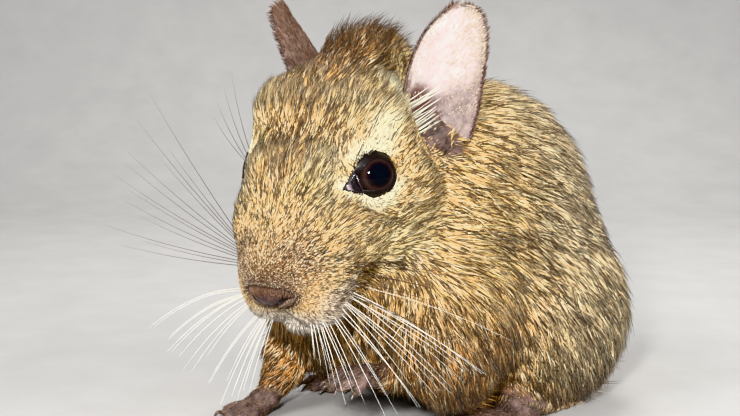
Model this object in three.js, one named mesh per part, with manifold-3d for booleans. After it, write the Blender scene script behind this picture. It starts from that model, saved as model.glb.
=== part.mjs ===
// A life-size degu (Octodon degus) as a still museum model, sitting hunched with one forepaw raised.
// Units are millimetres, +Z is up, the floor is z = 0, the animal faces -Y and its left side is +X.
// The body is one smooth distance field. Each named piece is the part of its surface that lies inside
// that piece's own cutter, and neighbouring cutters keep a small gap to each other.

import * as THREE from "three";
import { mergeVertices } from "three/addons/utils/BufferGeometryUtils.js";
import Module from "manifold-3d";

const wasm = await Module();
wasm.setup();

// Driving sizes of the whole animal
const GAP = 0.3;
const BODY_LENGTH = 86;
const BODY_WIDTH = 61;
const BODY_HEIGHT = 67;
const SIDES = [
  { side: "left", sign: 1 },
  { side: "right", sign: -1 },
];

// The head hangs from its own frame: x to its left, y to its back, z to its crown
const HEAD_PLACE = new THREE.Vector3(1.5, -32, 46.5);
const HEAD_YAW_DEG = 11;
const HEAD_PITCH_DEG = 22;
const HEAD_ROLL_DEG = 1.6;
const HEAD_WIDTH = 34.5;
const NOSE_TIP_Y = -27.5;

// Eyes, in the head's frame
const EYE_RADIUS = 4.5;
const EYE_PLACE = [12.3, -6.2, 6.2];
// The right eye sits this much nearer to the middle
const RIGHT_EYE_INSET = 0.9;
const EYE_OUTWARD = [0.86, -0.42, 0.28];
const LID_LENGTH = 8.6;
const LID_HEIGHT = 7.2;
const LID_THICKNESS = 0.75;

// Ears, in the head's frame
const EAR_HEIGHT = 30.2;
const EAR_HALF_WIDTH = 8.8;
const EAR_THICKNESS = 0.9;
const EAR_UP = [0.2, 0.13, 0.97];
const EARS = {
  left: { root: [14.5, 12.9, -0.4], opening: [0.92, -0.36, 0.12] },
  right: { root: [-12.8, 15, 0.4], opening: [-0.905, -0.41, 0.12] },
};
const EAR_HOLLOW_PLACE = [17.8, 11.8, 9.8];
const EAR_HOLLOW_RADII = [6.8, 5.8, 8.8];

// Feet and tail
const FOREPAW_LENGTH = 14;
const HIND_FOOT_LENGTH = 33;
const TAIL_ROOT_RADIUS = 4.4;
const TAIL_TIP_RADIUS = 2;
const BRUSH_LOCKS = 14;
const BRUSH_LENGTH = 21;

const FINISHES = {
  coat: new THREE.MeshStandardMaterial({ color: 0x9a7446, roughness: 0.9 }),
  belly: new THREE.MeshStandardMaterial({ color: 0xa5703f, roughness: 0.9 }),
  ear: new THREE.MeshStandardMaterial({ color: 0xb49a93, roughness: 0.7 }),
  nose: new THREE.MeshStandardMaterial({ color: 0x5a3a38, roughness: 0.5 }),
  eye: new THREE.MeshStandardMaterial({ color: 0x160d0a, roughness: 0.05 }),
  foot: new THREE.MeshStandardMaterial({ color: 0x6d5c55, roughness: 0.7 }),
  claw: new THREE.MeshStandardMaterial({ color: 0x3c322c, roughness: 0.4 }),
  brush: new THREE.MeshStandardMaterial({ color: 0x1d1713, roughness: 0.8 }),
};

// Small tools

const vec = (list) => new THREE.Vector3(...list);
const mirrored = (list, sign) => new THREE.Vector3(list[0] * sign, list[1], list[2]);
const mix = (a, b, t) => a + (b - a) * t;
const clamp01 = (t) => Math.min(1, Math.max(0, t));

// A repeatable draw of numbers from 0 to 1
function seededDraw(seed) {
  let state = seed;
  return () => {
    state = (state * 1664525 + 1013904223) % 4294967296;
    return state / 4294967296;
  };
}

// Distance fields: each takes a point and gives about how far outside the shape it is

function ellipsoidField(centre, radii) {
  const c = vec(centre);
  const r = vec(radii);
  return (p) => {
    const x = (p.x - c.x) / r.x;
    const y = (p.y - c.y) / r.y;
    const z = (p.z - c.z) / r.z;
    const scaled = Math.hypot(x, y, z);
    const steepness = Math.hypot(x / r.x, y / r.y, z / r.z) || 1e-6;
    return (scaled * (scaled - 1)) / steepness;
  };
}

function taperField(from, to, radiusFrom, radiusTo) {
  const a = vec(from);
  const along = vec(to).sub(a);
  return (p) => {
    const offset = p.clone().sub(a);
    const t = clamp01(offset.dot(along) / along.lengthSq());
    return offset.addScaledVector(along, -t).length() - mix(radiusFrom, radiusTo, t);
  };
}

function blend(fields, softness) {
  return (p) => {
    let total = 0;
    let nearest = Infinity;
    const distances = fields.map((field) => field(p));
    for (const d of distances) nearest = Math.min(nearest, d);
    for (const d of distances) total += Math.exp((nearest - d) / softness);
    return nearest - softness * Math.log(total);
  };
}

// The head's own shape in the head's frame, out to the tips of its short coat

const headPose = new THREE.Matrix4().compose(
  HEAD_PLACE,
  new THREE.Quaternion()
    .setFromAxisAngle(new THREE.Vector3(0, 0, 1), THREE.MathUtils.degToRad(HEAD_YAW_DEG))
    .multiply(
      new THREE.Quaternion().setFromAxisAngle(
        new THREE.Vector3(1, 0, 0),
        THREE.MathUtils.degToRad(HEAD_PITCH_DEG),
      ),
    )
    .multiply(
      new THREE.Quaternion().setFromAxisAngle(
        new THREE.Vector3(0, 1, 0),
        THREE.MathUtils.degToRad(-HEAD_ROLL_DEG),
      ),
    ),
  new THREE.Vector3(1, 1, 1),
);
const intoHead = headPose.clone().invert();

const headShape = blend(
  [
    ellipsoidField([0, 7, 6.5], [HEAD_WIDTH / 2 - 1.5, 17, 17.5]),
    taperField([0, 4, 10.5], [0, -10, 6], 9, 7.5),
    taperField([0, -8, 3.5], [0, -20, -3], 9.6, 7),
    ellipsoidField([0, -17.5, -5.5], [10.2, 9.4, 7.6]),
    ellipsoidField([1, 12, 12], [11, 11, 13]),
    ...SIDES.map(({ sign }) => ellipsoidField([8 * sign, 2.5, 13], [7.8, 10, 8.5])),
    ...SIDES.map(({ sign }) => ellipsoidField([7 * sign, -4, 4.5], [7.8, 11.5, 10])),
    ...SIDES.map(({ sign }) => ellipsoidField([4.6 * sign, -11.5, 7.5], [4, 6, 5.2])),
    ...SIDES.map(({ sign }) => ellipsoidField([7.9 * sign, -12, -1.5], [6.9, 8.8, 8])),
    ...SIDES.map(({ sign }) => ellipsoidField([5.6 * sign, -19.4, -9.8], [5.6, 6.3, 6.2])),
    ...SIDES.map(({ sign }) => ellipsoidField([8.6 * sign, 2, -3], [8.6, 14, 11.5])),
    taperField([0, -18, -15], [0, 0, -12.5], 3.8, 7),
  ],
  1.1,
);
const headField = (p) => headShape(p.clone().applyMatrix4(intoHead));

// The trunk's shape: an egg with a high back, a chest that comes down between the forelegs, and haunches

const trunkField = blend(
  [
    ellipsoidField([0, 4, 33], [BODY_WIDTH / 2 - 6, BODY_LENGTH / 2 - 15, BODY_HEIGHT / 2 - 1]),
    ellipsoidField([0, 15, 22], [24, 23, 22]),
    ellipsoidField([0, -12, 29], [23, 21, 25]),
    ...SIDES.map(({ sign }) => ellipsoidField([19 * sign, 10, 17], [10, 19, 16.5])),
    ...SIDES.map(({ sign }) => ellipsoidField([18 * sign, -20, 20], [10.5, 13, 15])),
  ],
  2.2,
);
const neckField = taperField([1, -26, 48], [0, -6, 42], 15, 21);
const bodyField = blend([headField, neckField, trunkField], 1.8);

// Solids

function geometryOf(points, faces) {
  const geometry = new THREE.BufferGeometry();
  geometry.setAttribute("position", new THREE.Float32BufferAttribute(points, 3));
  geometry.setIndex(faces);
  return geometry;
}

function solidOf(geometry) {
  const bare = geometry.clone();
  bare.deleteAttribute("normal");
  bare.deleteAttribute("uv");
  const merged = mergeVertices(bare, 1e-5);
  const vertProperties = new Float32Array(merged.getAttribute("position").array);
  const triVerts = new Uint32Array(merged.getIndex().array);
  return new wasm.Manifold(new wasm.Mesh({ numProp: 3, vertProperties, triVerts }));
}

function largestPiece(solid) {
  const pieces = solid.decompose();
  return pieces.reduce((best, piece) => (piece.volume() > best.volume() ? piece : best));
}

// Moves the corners of a ball along their rays to where the field reaches the wanted level
function starSolid(centre, detail, field, level, reach) {
  const ball = new THREE.IcosahedronGeometry(1, detail);
  const corners = ball.getAttribute("position");
  const ray = new THREE.Vector3();
  const found = new Map();
  const at = (distance) => field(centre.clone().addScaledVector(ray, distance)) - level;
  for (let i = 0; i < corners.count; i++) {
    ray.fromBufferAttribute(corners, i).normalize();
    const key = ray.toArray().map((value) => value.toFixed(4)).join();
    if (!found.has(key)) {
      let inner = 0;
      let outer = 1;
      while (at(outer) < 0 && outer < reach) {
        inner = outer;
        outer += 1;
      }
      for (let step = 0; step < 18; step++) {
        const middle = (inner + outer) / 2;
        if (at(middle) < 0) inner = middle;
        else outer = middle;
      }
      found.set(key, centre.clone().addScaledVector(ray, outer));
    }
    corners.setXYZ(i, ...found.get(key).toArray());
  }
  return solidOf(ball);
}

// A closed tube along part of a curve, its radii spread evenly from the tube's start to its end
function tubeAlong(curve, from, to, radii, rings, sides, flatten = 1, upHint = [0, 0, 1]) {
  const corners = [];
  const faces = [];
  for (let ring = 0; ring <= rings; ring++) {
    const share = ring / rings;
    const middle = curve.getPointAt(mix(from, to, share));
    const tangent = curve.getTangentAt(mix(from, to, share));
    const across = new THREE.Vector3().crossVectors(tangent, vec(upHint)).normalize();
    const upward = new THREE.Vector3().crossVectors(across, tangent).normalize();
    const place = share * (radii.length - 1);
    const first = Math.min(Math.floor(place), radii.length - 2);
    const radius = mix(radii[first], radii[first + 1], place - first);
    for (let side = 0; side < sides; side++) {
      const angle = (side / sides) * Math.PI * 2;
      const corner = middle
        .clone()
        .addScaledVector(across, Math.cos(angle) * radius)
        .addScaledVector(upward, Math.sin(angle) * radius * flatten);
      corners.push(...corner.toArray());
    }
  }
  const start = corners.length / 3;
  corners.push(...curve.getPointAt(from).toArray(), ...curve.getPointAt(to).toArray());
  for (let ring = 0; ring < rings; ring++) {
    for (let side = 0; side < sides; side++) {
      const a = ring * sides + side;
      const b = ring * sides + ((side + 1) % sides);
      faces.push(a, b, a + sides, b, b + sides, a + sides);
    }
  }
  for (let side = 0; side < sides; side++) {
    const next = (side + 1) % sides;
    faces.push(start, next, side, start + 1, rings * sides + side, rings * sides + next);
  }
  return outwardSolid(geometryOf(corners, faces));
}

const taperedTube = (points, radii, rings, sides, flatten, upHint) =>
  tubeAlong(new THREE.CatmullRomCurve3(points), 0, 1, radii, rings, sides, flatten, upHint);

// The faces of a closed mesh may run either way round: this turns them out
function outwardSolid(geometry) {
  const solid = solidOf(geometry);
  if (solid.volume() > 0) return solid;
  const index = geometry.getIndex().array;
  for (let i = 0; i < index.length; i += 3) [index[i], index[i + 1]] = [index[i + 1], index[i]];
  return solidOf(geometry);
}

function ballSolid(centre, radii, around, upward) {
  const ball = new THREE.SphereGeometry(1, around, upward);
  ball.rotateX(Math.PI / 2);
  ball.scale(...radii);
  ball.translate(...centre);
  return solidOf(ball);
}

function boxSolid(centre, size) {
  const box = new THREE.BoxGeometry(...size);
  box.translate(...centre);
  return solidOf(box);
}

function union(solids) {
  return solids.reduce((sum, solid) => sum.add(solid));
}

// Everything is cut off at the floor, which leaves the small flats that the animal rests on
const BELOW_FLOOR = boxSolid([0, 0, -50], [400, 400, 100]);
const aboveFloor = (solid) => solid.subtract(BELOW_FLOOR);

// Cutters: where each piece of the trunk ends, grown by a gap when a neighbour is cut by it

const NECK_CUTTER = { centre: new THREE.Vector3(0.5, -16, 46), radii: [27, 13, 24] };
const THIGH_CUTTER = { centre: [22, 11, 17], radii: [11, 18.5, 17.5] };
const SHOULDER_CUTTER = { centre: [22, -20, 19], radii: [10.5, 12, 14.5] };
const WAIST_Y = 3;

const headCutter = (grow) => starSolid(HEAD_PLACE, 5, headField, 0.9 + grow, 60);

// The places that see the whole of each piece's surface, from which its corners are cast
const FACE_MIDDLE = new THREE.Vector3(0, -5, -1).applyMatrix4(headPose);
const neckStar = (grow) => starSolid(NECK_CUTTER.centre, 5, bodyField, grow, 70);
const chestStar = (grow) => starSolid(new THREE.Vector3(0, -16, 28), 5, bodyField, grow, 80);
const rumpStar = (grow) => starSolid(new THREE.Vector3(0, 14, 30), 6, bodyField, grow, 80);
const thighStar = (sign, grow) => starSolid(mirrored([16, 12, 18], sign), 5, bodyField, grow, 70);
const shoulderStar = (sign, grow) => starSolid(mirrored([13, -18, 22], sign), 5, bodyField, grow, 70);
const neckCutter = (grow) =>
  ballSolid(NECK_CUTTER.centre.toArray(), NECK_CUTTER.radii.map((r) => r + grow), 16, 10);
const limbCutter = (cutter, sign, grow) =>
  ballSolid(
    mirrored(cutter.centre, sign).toArray(),
    cutter.radii.map((r) => r + grow),
    16,
    10,
  );
const FRONT_HALF = boxSolid([0, WAIST_Y - 100, 0], [400, 200, 400]);
const REAR_HALF = boxSolid([0, WAIST_Y + GAP + 100, 0], [400, 200, 400]);

// The head and what is set in it

function headFrameSolid(solid) {
  return solid.transform(headPose.elements);
}

// The almond line of an eye's opening, raised a little off the ball
function lidRim(sign) {
  const outward = mirrored(EYE_OUTWARD, sign).normalize();
  const ahead = new THREE.Vector3(0, -1, -0.42);
  ahead.addScaledVector(outward, -ahead.dot(outward)).normalize();
  const upward = new THREE.Vector3().crossVectors(outward, ahead).multiplyScalar(sign);
  if (upward.z < 0) upward.negate();
  const rim = [];
  const RIM_POINTS = 16;
  for (let i = 0; i < RIM_POINTS; i++) {
    const angle = (i / RIM_POINTS) * Math.PI * 2;
    const along = Math.cos(angle) * (LID_LENGTH / 2);
    const rise = Math.sin(angle) * (LID_HEIGHT / 2);
    const corner = Math.max(0, Math.cos(angle)) ** 6 * 0.9;
    const fromAxis = Math.hypot(along, rise);
    const lift = Math.sqrt(Math.max(1.2, EYE_RADIUS ** 2 - fromAxis ** 2));
    rim.push(
      eyePlace(sign)
        .addScaledVector(ahead, along + corner)
        .addScaledVector(upward, rise * (1 - corner * 0.5))
        .addScaledVector(outward, lift - corner * 0.3),
    );
  }
  return rim;
}

function ringTube(points, radius, sides) {
  const curve = new THREE.CatmullRomCurve3(points, true);
  const centre = points.reduce((sum, p) => sum.add(p), new THREE.Vector3()).divideScalar(points.length);
  const rings = points.length;
  const corners = [];
  const faces = [];
  for (let ring = 0; ring < rings; ring++) {
    const middle = curve.getPoint(ring / rings);
    const tangent = curve.getTangent(ring / rings);
    const outward = middle.clone().sub(centre);
    outward.addScaledVector(tangent, -outward.dot(tangent)).normalize();
    const upward = new THREE.Vector3().crossVectors(tangent, outward);
    for (let side = 0; side < sides; side++) {
      const angle = (side / sides) * Math.PI * 2;
      const corner = middle
        .clone()
        .addScaledVector(outward, Math.cos(angle) * radius)
        .addScaledVector(upward, Math.sin(angle) * radius);
      corners.push(...corner.toArray());
    }
  }
  for (let ring = 0; ring < rings; ring++) {
    const next = (ring + 1) % rings;
    for (let side = 0; side < sides; side++) {
      const turn = (side + 1) % sides;
      const a = ring * sides + side;
      const b = ring * sides + turn;
      faces.push(a, b, next * sides + side, b, next * sides + turn, next * sides + side);
    }
  }
  return outwardSolid(geometryOf(corners, faces));
}

// The nose pad is a bare bean, wider than high, with a comma-shaped nostril on each side
const NOSE_PLACE = [0, NOSE_TIP_Y + 2.9, -7.8];
const NOSE_RADII = [5.3, 3.2, 2.6];
const nosePad = (grow) => ballSolid(NOSE_PLACE, NOSE_RADII.map((r) => r + grow), 16, 10);

function nostril(sign) {
  const points = [
    mirrored([1.2, NOSE_TIP_Y - 0.5, -8.4], sign),
    mirrored([2.3, NOSE_TIP_Y + 0.3, -8.1], sign),
    mirrored([3.4, NOSE_TIP_Y + 1.5, -7.2], sign),
  ];
  return taperedTube(points, [0.45, 0.65, 0.4], 4, 6);
}

// The line of the mouth runs back under the whisker pads, and the cleft runs up to the nose
function mouthLine() {
  const corner = (sign) => [
    mirrored([0, NOSE_TIP_Y + 3, -14.8], sign),
    mirrored([3, NOSE_TIP_Y + 4.2, -15.8], sign),
    mirrored([5.8, NOSE_TIP_Y + 8.2, -15.6], sign),
    mirrored([8, NOSE_TIP_Y + 13.5, -13.8], sign),
  ];
  const lines = SIDES.map(({ sign }) => taperedTube(corner(sign), [0.75, 0.7, 0.5], 7, 5, 0.55));
  const cleft = [vec([0, NOSE_TIP_Y + 1.4, -9.8]), vec([0, NOSE_TIP_Y + 2.6, -14.6])];
  return union([...lines, taperedTube(cleft, [0.4, 0.5], 2, 6, 1, [1, 0, 0])]);
}

function lowerLip() {
  const lip = [
    vec([-4, NOSE_TIP_Y + 9, -16.6]),
    vec([-2.2, NOSE_TIP_Y + 6.3, -16.7]),
    vec([0, NOSE_TIP_Y + 5.6, -16.6]),
    vec([2.2, NOSE_TIP_Y + 6.3, -16.7]),
    vec([4, NOSE_TIP_Y + 9, -16.6]),
  ];
  return taperedTube(lip, [0.6, 0.95, 1, 0.95, 0.6], 6, 6);
}

const eyePlace = (sign) =>
  mirrored(EYE_PLACE, sign).add(vec([sign < 0 ? RIGHT_EYE_INSET : 0, 0, 0]));

const eyeBall = (sign, grow) =>
  ballSolid(eyePlace(sign).toArray(), [1, 1, 1].map((r) => r * EYE_RADIUS + grow), 16, 10);

// One ear: a thin cup whose section across is an arc, deep at the root and shallow at the tip
function earSolid(side, sign) {
  const upward = mirrored(EAR_UP, sign).normalize();
  const opening = vec(EARS[side].opening);
  opening.addScaledVector(upward, -opening.dot(upward)).normalize();
  const rearward = new THREE.Vector3().crossVectors(upward, opening).multiplyScalar(sign);
  if (rearward.y < 0) rearward.negate();
  const ROWS = 10;
  const COLUMNS = 8;
  const place = (u, v, skin) => {
    const spread = EAR_HALF_WIDTH * earSpread(v);
    const depth = mix(6.5, 1.2, Math.min(1, v * 1.15)) * (1 - u * u);
    const lean = 2.2 * v * v;
    return vec(EARS[side].root)
      .addScaledVector(upward, v * EAR_HEIGHT - 1.5 * (1 - v) * u)
      .addScaledVector(rearward, u * spread + lean * 0.6 - 1.4 * (1 - v))
      .addScaledVector(opening, -depth + lean - skin * EAR_THICKNESS * mix(1, 0.6, v));
  };
  const corners = [];
  for (const skin of [0, 1]) {
    for (let row = 0; row <= ROWS; row++) {
      for (let column = 0; column <= COLUMNS; column++) {
        const u = (column / COLUMNS) * 2 - 1;
        corners.push(...place(u, row / ROWS, skin).toArray());
      }
    }
  }
  return outwardSolid(geometryOf(corners, sheetFaces(ROWS, COLUMNS)));
}

// Half width of the ear from root (0) to tip (1), as a share of its widest
function earSpread(v) {
  const root = mix(0.66, 1, Math.sin(Math.min(1, v / 0.34) * (Math.PI / 2)));
  const tip = Math.sqrt(Math.max(0.02, 1 - Math.max(0, (v - 0.5) / 0.5) ** 2.3));
  return root * tip;
}

// Faces of a closed sheet: two grids of rows and columns, alike on both sides, joined round the edge
function sheetFaces(rows, columns) {
  const width = columns + 1;
  const second = width * (rows + 1);
  const faces = [];
  const edge = [];
  for (let row = 0; row < rows; row++) {
    for (let column = 0; column < columns; column++) {
      const a = row * width + column;
      const quad = [a, a + 1, a + width, a + 1, a + width + 1, a + width];
      faces.push(...quad);
      for (let i = 0; i < 6; i += 3) faces.push(...[quad[i], quad[i + 2], quad[i + 1]].map((q) => q + second));
    }
  }
  for (let column = 0; column < columns; column++) edge.push(column);
  for (let row = 0; row < rows; row++) edge.push(row * width + columns);
  for (let column = columns; column > 0; column--) edge.push(rows * width + column);
  for (let row = rows; row > 0; row--) edge.push(row * width);
  edge.forEach((a, i) => {
    const b = edge[(i + 1) % edge.length];
    faces.push(a, a + second, b, b, a + second, b + second);
  });
  return faces;
}

// Legs, feet and claws

const FOREPAWS = {
  left: {
    elbow: [19, -15, 15],
    wrist: [10.5, -29.5, 11.8],
    ahead: [-0.12, -0.98, 0.12],
    raised: true,
  },
  right: {
    elbow: [-21, -23.5, 14],
    wrist: [-17.5, -33.5, 4.2],
    ahead: [0.05, -0.99, -0.08],
    raised: false,
  },
};

const HIND_FOOT = { heel: [19.5, 13, 2.9], ball: [20.5, -8, 2.7], toes: [21.6, -19, 2.2] };

function forearm(side) {
  const { elbow, wrist } = FOREPAWS[side];
  const middle = vec(elbow).lerp(vec(wrist), 0.55).add(new THREE.Vector3(0, 0, 0.6));
  return taperedTube([vec(elbow), middle, vec(wrist)], [7, 5.4, 3.2], 6, 10);
}

// A digit with a pad under its end, and the claw that grows from it
function digitLine(root, ahead, across, spread, length, drop) {
  const direction = ahead.clone().addScaledVector(across, spread).normalize();
  return [
    root.clone(),
    root.clone().addScaledVector(direction, length * 0.45).add(new THREE.Vector3(0, 0, 0.5)),
    root.clone().addScaledVector(direction, length).add(new THREE.Vector3(0, 0, -drop)),
  ];
}

function claw(line, length, radius) {
  const tip = line[2];
  const direction = tip.clone().sub(line[1]).setZ(0).normalize();
  const start = tip.clone().addScaledVector(direction, -0.1).add(new THREE.Vector3(0, 0, radius * 0.7));
  const middle = start.clone().addScaledVector(direction, length * 0.6).add(new THREE.Vector3(0, 0, 0.25));
  const end = start.clone().addScaledVector(direction, length).add(new THREE.Vector3(0, 0, -0.75));
  return taperedTube([start, middle, end], [radius, radius * 0.75, radius * 0.2], 2, 4);
}

function forepawPieces(side, sign) {
  const { wrist, ahead, raised } = FOREPAWS[side];
  const forward = vec(ahead).normalize();
  const across = new THREE.Vector3().crossVectors(new THREE.Vector3(0, 0, 1), forward).normalize();
  if (across.x * sign < 0) across.negate();
  const palmEnd = vec(wrist).addScaledVector(forward, FOREPAW_LENGTH * 0.42).add(new THREE.Vector3(0, 0, raised ? 0 : -2.5));
  const palm = taperedTube([vec(wrist), vec(wrist).lerp(palmEnd, 0.5), palmEnd], [2.7, 3.3, 2.7], 3, 8, 0.72);
  const lines = [];
  for (let digit = 0; digit < 4; digit++) {
    const spread = (digit - 1.5) * 0.3;
    const root = palmEnd.clone().addScaledVector(across, (digit - 1.5) * 1.35).addScaledVector(forward, -1.2);
    const length = FOREPAW_LENGTH * (digit === 1 || digit === 2 ? 0.5 : 0.42);
    lines.push(digitLine(root, forward, across, spread, length, raised ? 2.4 : 0.6));
  }
  const digits = lines.map((line) => taperedTube(line, [1.2, 1, 0.95, 1.15, 0.6], 5, 6));
  const thumbRoot = vec(wrist).lerp(palmEnd, 0.45).addScaledVector(across, -2.4);
  const thumb = ballSolid(thumbRoot.toArray(), [1.2, 1.3, 1], 7, 5);
  return { flesh: union([palm, thumb, ...digits]), claws: lines.map((line) => claw(line, 1.7, 0.42)) };
}

function hindFootPieces(sign) {
  const heel = mirrored(HIND_FOOT.heel, sign);
  const ball = mirrored(HIND_FOOT.ball, sign);
  const toes = mirrored(HIND_FOOT.toes, sign);
  const forward = toes.clone().sub(ball).setZ(0).normalize();
  const across = new THREE.Vector3(sign, 0, 0);
  const sole = taperedTube([heel, heel.clone().lerp(ball, 0.5), ball], [3.7, 3.4, 4.2], 4, 8, 0.86);
  const lines = [];
  const toeLengths = [0.2, 0.3, 0.33, 0.31, 0.23];
  toeLengths.forEach((share, toe) => {
    const side = toe - 2;
    const root = ball.clone().addScaledVector(across, side * 1.75).addScaledVector(forward, 1.6 - Math.abs(side) * 0.8);
    root.z = 1.6;
    lines.push(digitLine(root, forward, across, side * 0.14, HIND_FOOT_LENGTH * share, 0.6));
  });
  const digits = lines.map((line) => taperedTube(line, [1.6, 1.25, 1.15, 1.4, 0.8], 5, 6));
  return { flesh: union([sole, ...digits]), claws: lines.map((line) => claw(line, 2.4, 0.55)) };
}

// The tail leaves the rump low and lies on the floor round the animal's right side

const TAIL_LINE = new THREE.CatmullRomCurve3(
  [
    [0, 32, 14],
    [-1, 43, 8.5],
    [-9, 52, 4.2],
    [-24, 53.5, 3.4],
    [-38, 45, 3.1],
    [-44, 30, 2.9],
    [-44, 13, 2.7],
    [-40.5, -3, 2.5],
  ].map(vec),
);
const TAIL_LENGTHS = [0, 0.34, 0.6, 0.84];

const TAIL_GAP = GAP / TAIL_LINE.getLength();
const tailRadius = (share) => mix(TAIL_ROOT_RADIUS, TAIL_TIP_RADIUS, share ** 0.8);

function tailLength(index) {
  const from = TAIL_LENGTHS[index] + (index ? TAIL_GAP : 0);
  const to = TAIL_LENGTHS[index + 1];
  return tubeAlong(TAIL_LINE, from, to, [tailRadius(from), tailRadius(to)], 7, 10);
}

// The brush: flat tapered locks that leave the tail's end and overlap towards its tip
function tailBrush() {
  const draw = seededDraw(7);
  const from = TAIL_LENGTHS[3] + TAIL_GAP;
  const pieces = [tubeAlong(TAIL_LINE, from, 1, [2, 2.2, 2.1, 1.7, 0.8], 5, 8)];
  for (let lock = 0; lock < BRUSH_LOCKS; lock++) {
    const share = (lock + draw() * 0.5) / BRUSH_LOCKS;
    const start = mix(from + 0.025, 0.97, share);
    const root = TAIL_LINE.getPointAt(start);
    const along = TAIL_LINE.getTangentAt(start);
    const angle = lock * 2.4 + draw() * 0.4;
    const across = new THREE.Vector3().crossVectors(along, new THREE.Vector3(0, 0, 1)).normalize();
    const upward = new THREE.Vector3().crossVectors(across, along).normalize();
    const outward = across.clone().multiplyScalar(Math.cos(angle)).addScaledVector(upward, Math.sin(angle));
    const length = BRUSH_LENGTH * mix(0.42, 0.62, draw());
    const middle = root.clone().addScaledVector(along, length * 0.5).addScaledVector(outward, 2.3);
    const end = root.clone().addScaledVector(along, length).addScaledVector(outward, 2.9);
    middle.z = Math.max(middle.z, 0.9);
    end.z = Math.max(end.z, 0.7);
    pieces.push(taperedTube([root, middle, end], [1.1, 1.4, 0.35], 3, 4, 0.55, outward.toArray()));
  }
  return union(pieces);
}

// The whole animal

const part = new THREE.Group();

function addNode(name, solid, finish) {
  const whole = largestPiece(aboveFloor(solid));
  const { vertProperties, triVerts } = whole.getMesh();
  const geometry = geometryOf(Array.from(vertProperties), Array.from(triVerts));
  geometry.computeVertexNormals();
  const mesh = new THREE.Mesh(geometry, FINISHES[finish]);
  mesh.name = name;
  part.add(mesh);
}

function addHead() {
  const lids = SIDES.map(({ sign }) => ringTube(lidRim(sign), LID_THICKNESS, 5));
  const setIn = union([
    ...SIDES.map(({ sign }) => eyeBall(sign, GAP)),
    nosePad(GAP),
    mouthLine(),
    ...SIDES.map(({ sign }) => nostril(sign)),
    ...SIDES.map(({ sign }) => ballSolid(mirrored(EAR_HOLLOW_PLACE, sign).toArray(), EAR_HOLLOW_RADII, 12, 8)),
  ]);
  const raised = union([...lids, lowerLip()]);
  const skull = starSolid(FACE_MIDDLE, 9, bodyField, 0, 60).intersect(headCutter(0));
  const head = skull.add(headFrameSolid(raised)).subtract(headFrameSolid(setIn));
  addNode("head", head, "coat");
  const nose = union(SIDES.map(({ sign }) => nostril(sign)));
  addNode("nose", headFrameSolid(nosePad(0).subtract(nose)), "nose");
  const headGrown = starSolid(HEAD_PLACE, 6, bodyField, GAP, 60);
  for (const { side, sign } of SIDES) {
    addNode(`eye_${side}`, headFrameSolid(eyeBall(sign, 0)), "eye");
    addNode(`ear_${side}`, headFrameSolid(earSolid(side, sign)).subtract(headGrown), "ear");
  }
}

function addTrunk() {
  const headCut = headCutter(GAP);
  const neckCut = neckCutter(GAP);
  addNode("neck", neckStar(0).intersect(neckCutter(0)).subtract(headCut), "coat");
  const limbCuts = SIDES.flatMap(({ sign }) => [
    limbCutter(THIGH_CUTTER, sign, GAP),
    limbCutter(SHOULDER_CUTTER, sign, GAP),
  ]);
  const cuts = union([headCut, neckCut, ...limbCuts]);
  addNode("chest", chestStar(0).intersect(FRONT_HALF).subtract(cuts), "belly");
  addNode("rump", rumpStar(0).intersect(REAR_HALF).subtract(cuts), "coat");
  for (const { side, sign } of SIDES) {
    const thigh = thighStar(sign, 0).intersect(limbCutter(THIGH_CUTTER, sign, 0));
    addNode(`thigh_${side}`, thigh, "coat");
    const shoulder = shoulderStar(sign, 0)
      .intersect(limbCutter(SHOULDER_CUTTER, sign, 0))
      .subtract(limbCutter(THIGH_CUTTER, sign, GAP));
    addNode(`shoulder_${side}`, shoulder.subtract(union([headCut, neckCut])), "coat");
  }
}

function addLegs() {
  for (const { side, sign } of SIDES) {
    const trunkGrown = union([
      chestStar(GAP),
      rumpStar(GAP).intersect(REAR_HALF),
      thighStar(sign, GAP),
      shoulderStar(sign, GAP),
    ]);
    const fore = forepawPieces(side, sign);
    const { wrist, elbow } = FOREPAWS[side];
    const towardPaw = vec(wrist).sub(vec(elbow)).normalize();
    const pawSide = boxAlong(vec(wrist), towardPaw, 0);
    const armGap = boxAlong(vec(wrist), towardPaw, -GAP);
    addNode(`foreleg_${side}`, forearm(side).subtract(armGap).subtract(trunkGrown), "coat");
    addNode(`forepaw_${side}`, fore.flesh.intersect(pawSide).subtract(trunkGrown), "foot");
    addClaws(`forepaw_${side}`, fore);
    const hind = hindFootPieces(sign);
    addNode(`hindfoot_${side}`, hind.flesh.subtract(trunkGrown), "foot");
    addClaws(`hindfoot_${side}`, hind);
  }
}

// A large box that starts at a distance from a point and runs on along a direction
function boxAlong(point, direction, start) {
  const size = 200;
  const box = new THREE.BoxGeometry(size, size, size);
  box.applyQuaternion(new THREE.Quaternion().setFromUnitVectors(new THREE.Vector3(0, 0, 1), direction));
  box.translate(...point.clone().addScaledVector(direction, start + size / 2).toArray());
  return solidOf(box);
}

function addClaws(owner, { flesh, claws }) {
  claws.forEach((solid, digit) => {
    const clear = solid.translate([0, 0, 0]).subtract(flesh);
    addNode(`claw_${owner}_${digit + 1}`, clear, "claw");
  });
}

function addTail() {
  for (let index = 0; index < 3; index++) {
    const length = tailLength(index);
    addNode(`tail_${index + 1}`, index ? length : length.subtract(rumpStar(GAP)), "coat");
  }
  addNode("tail_brush", tailBrush(), "brush");
}

addHead();
addTrunk();
addLegs();
addTail();

// The origin goes to the middle of the bounding box, at the floor
const box = new THREE.Box3().setFromObject(part);
const middle = box.getCenter(new THREE.Vector3());
part.position.set(-middle.x, -middle.y, -box.min.z);

export default part;
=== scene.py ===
import math

import bmesh
import bpy
import numpy as np
from mathutils import Matrix, Vector
from mathutils.bvhtree import BVHTree


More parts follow.
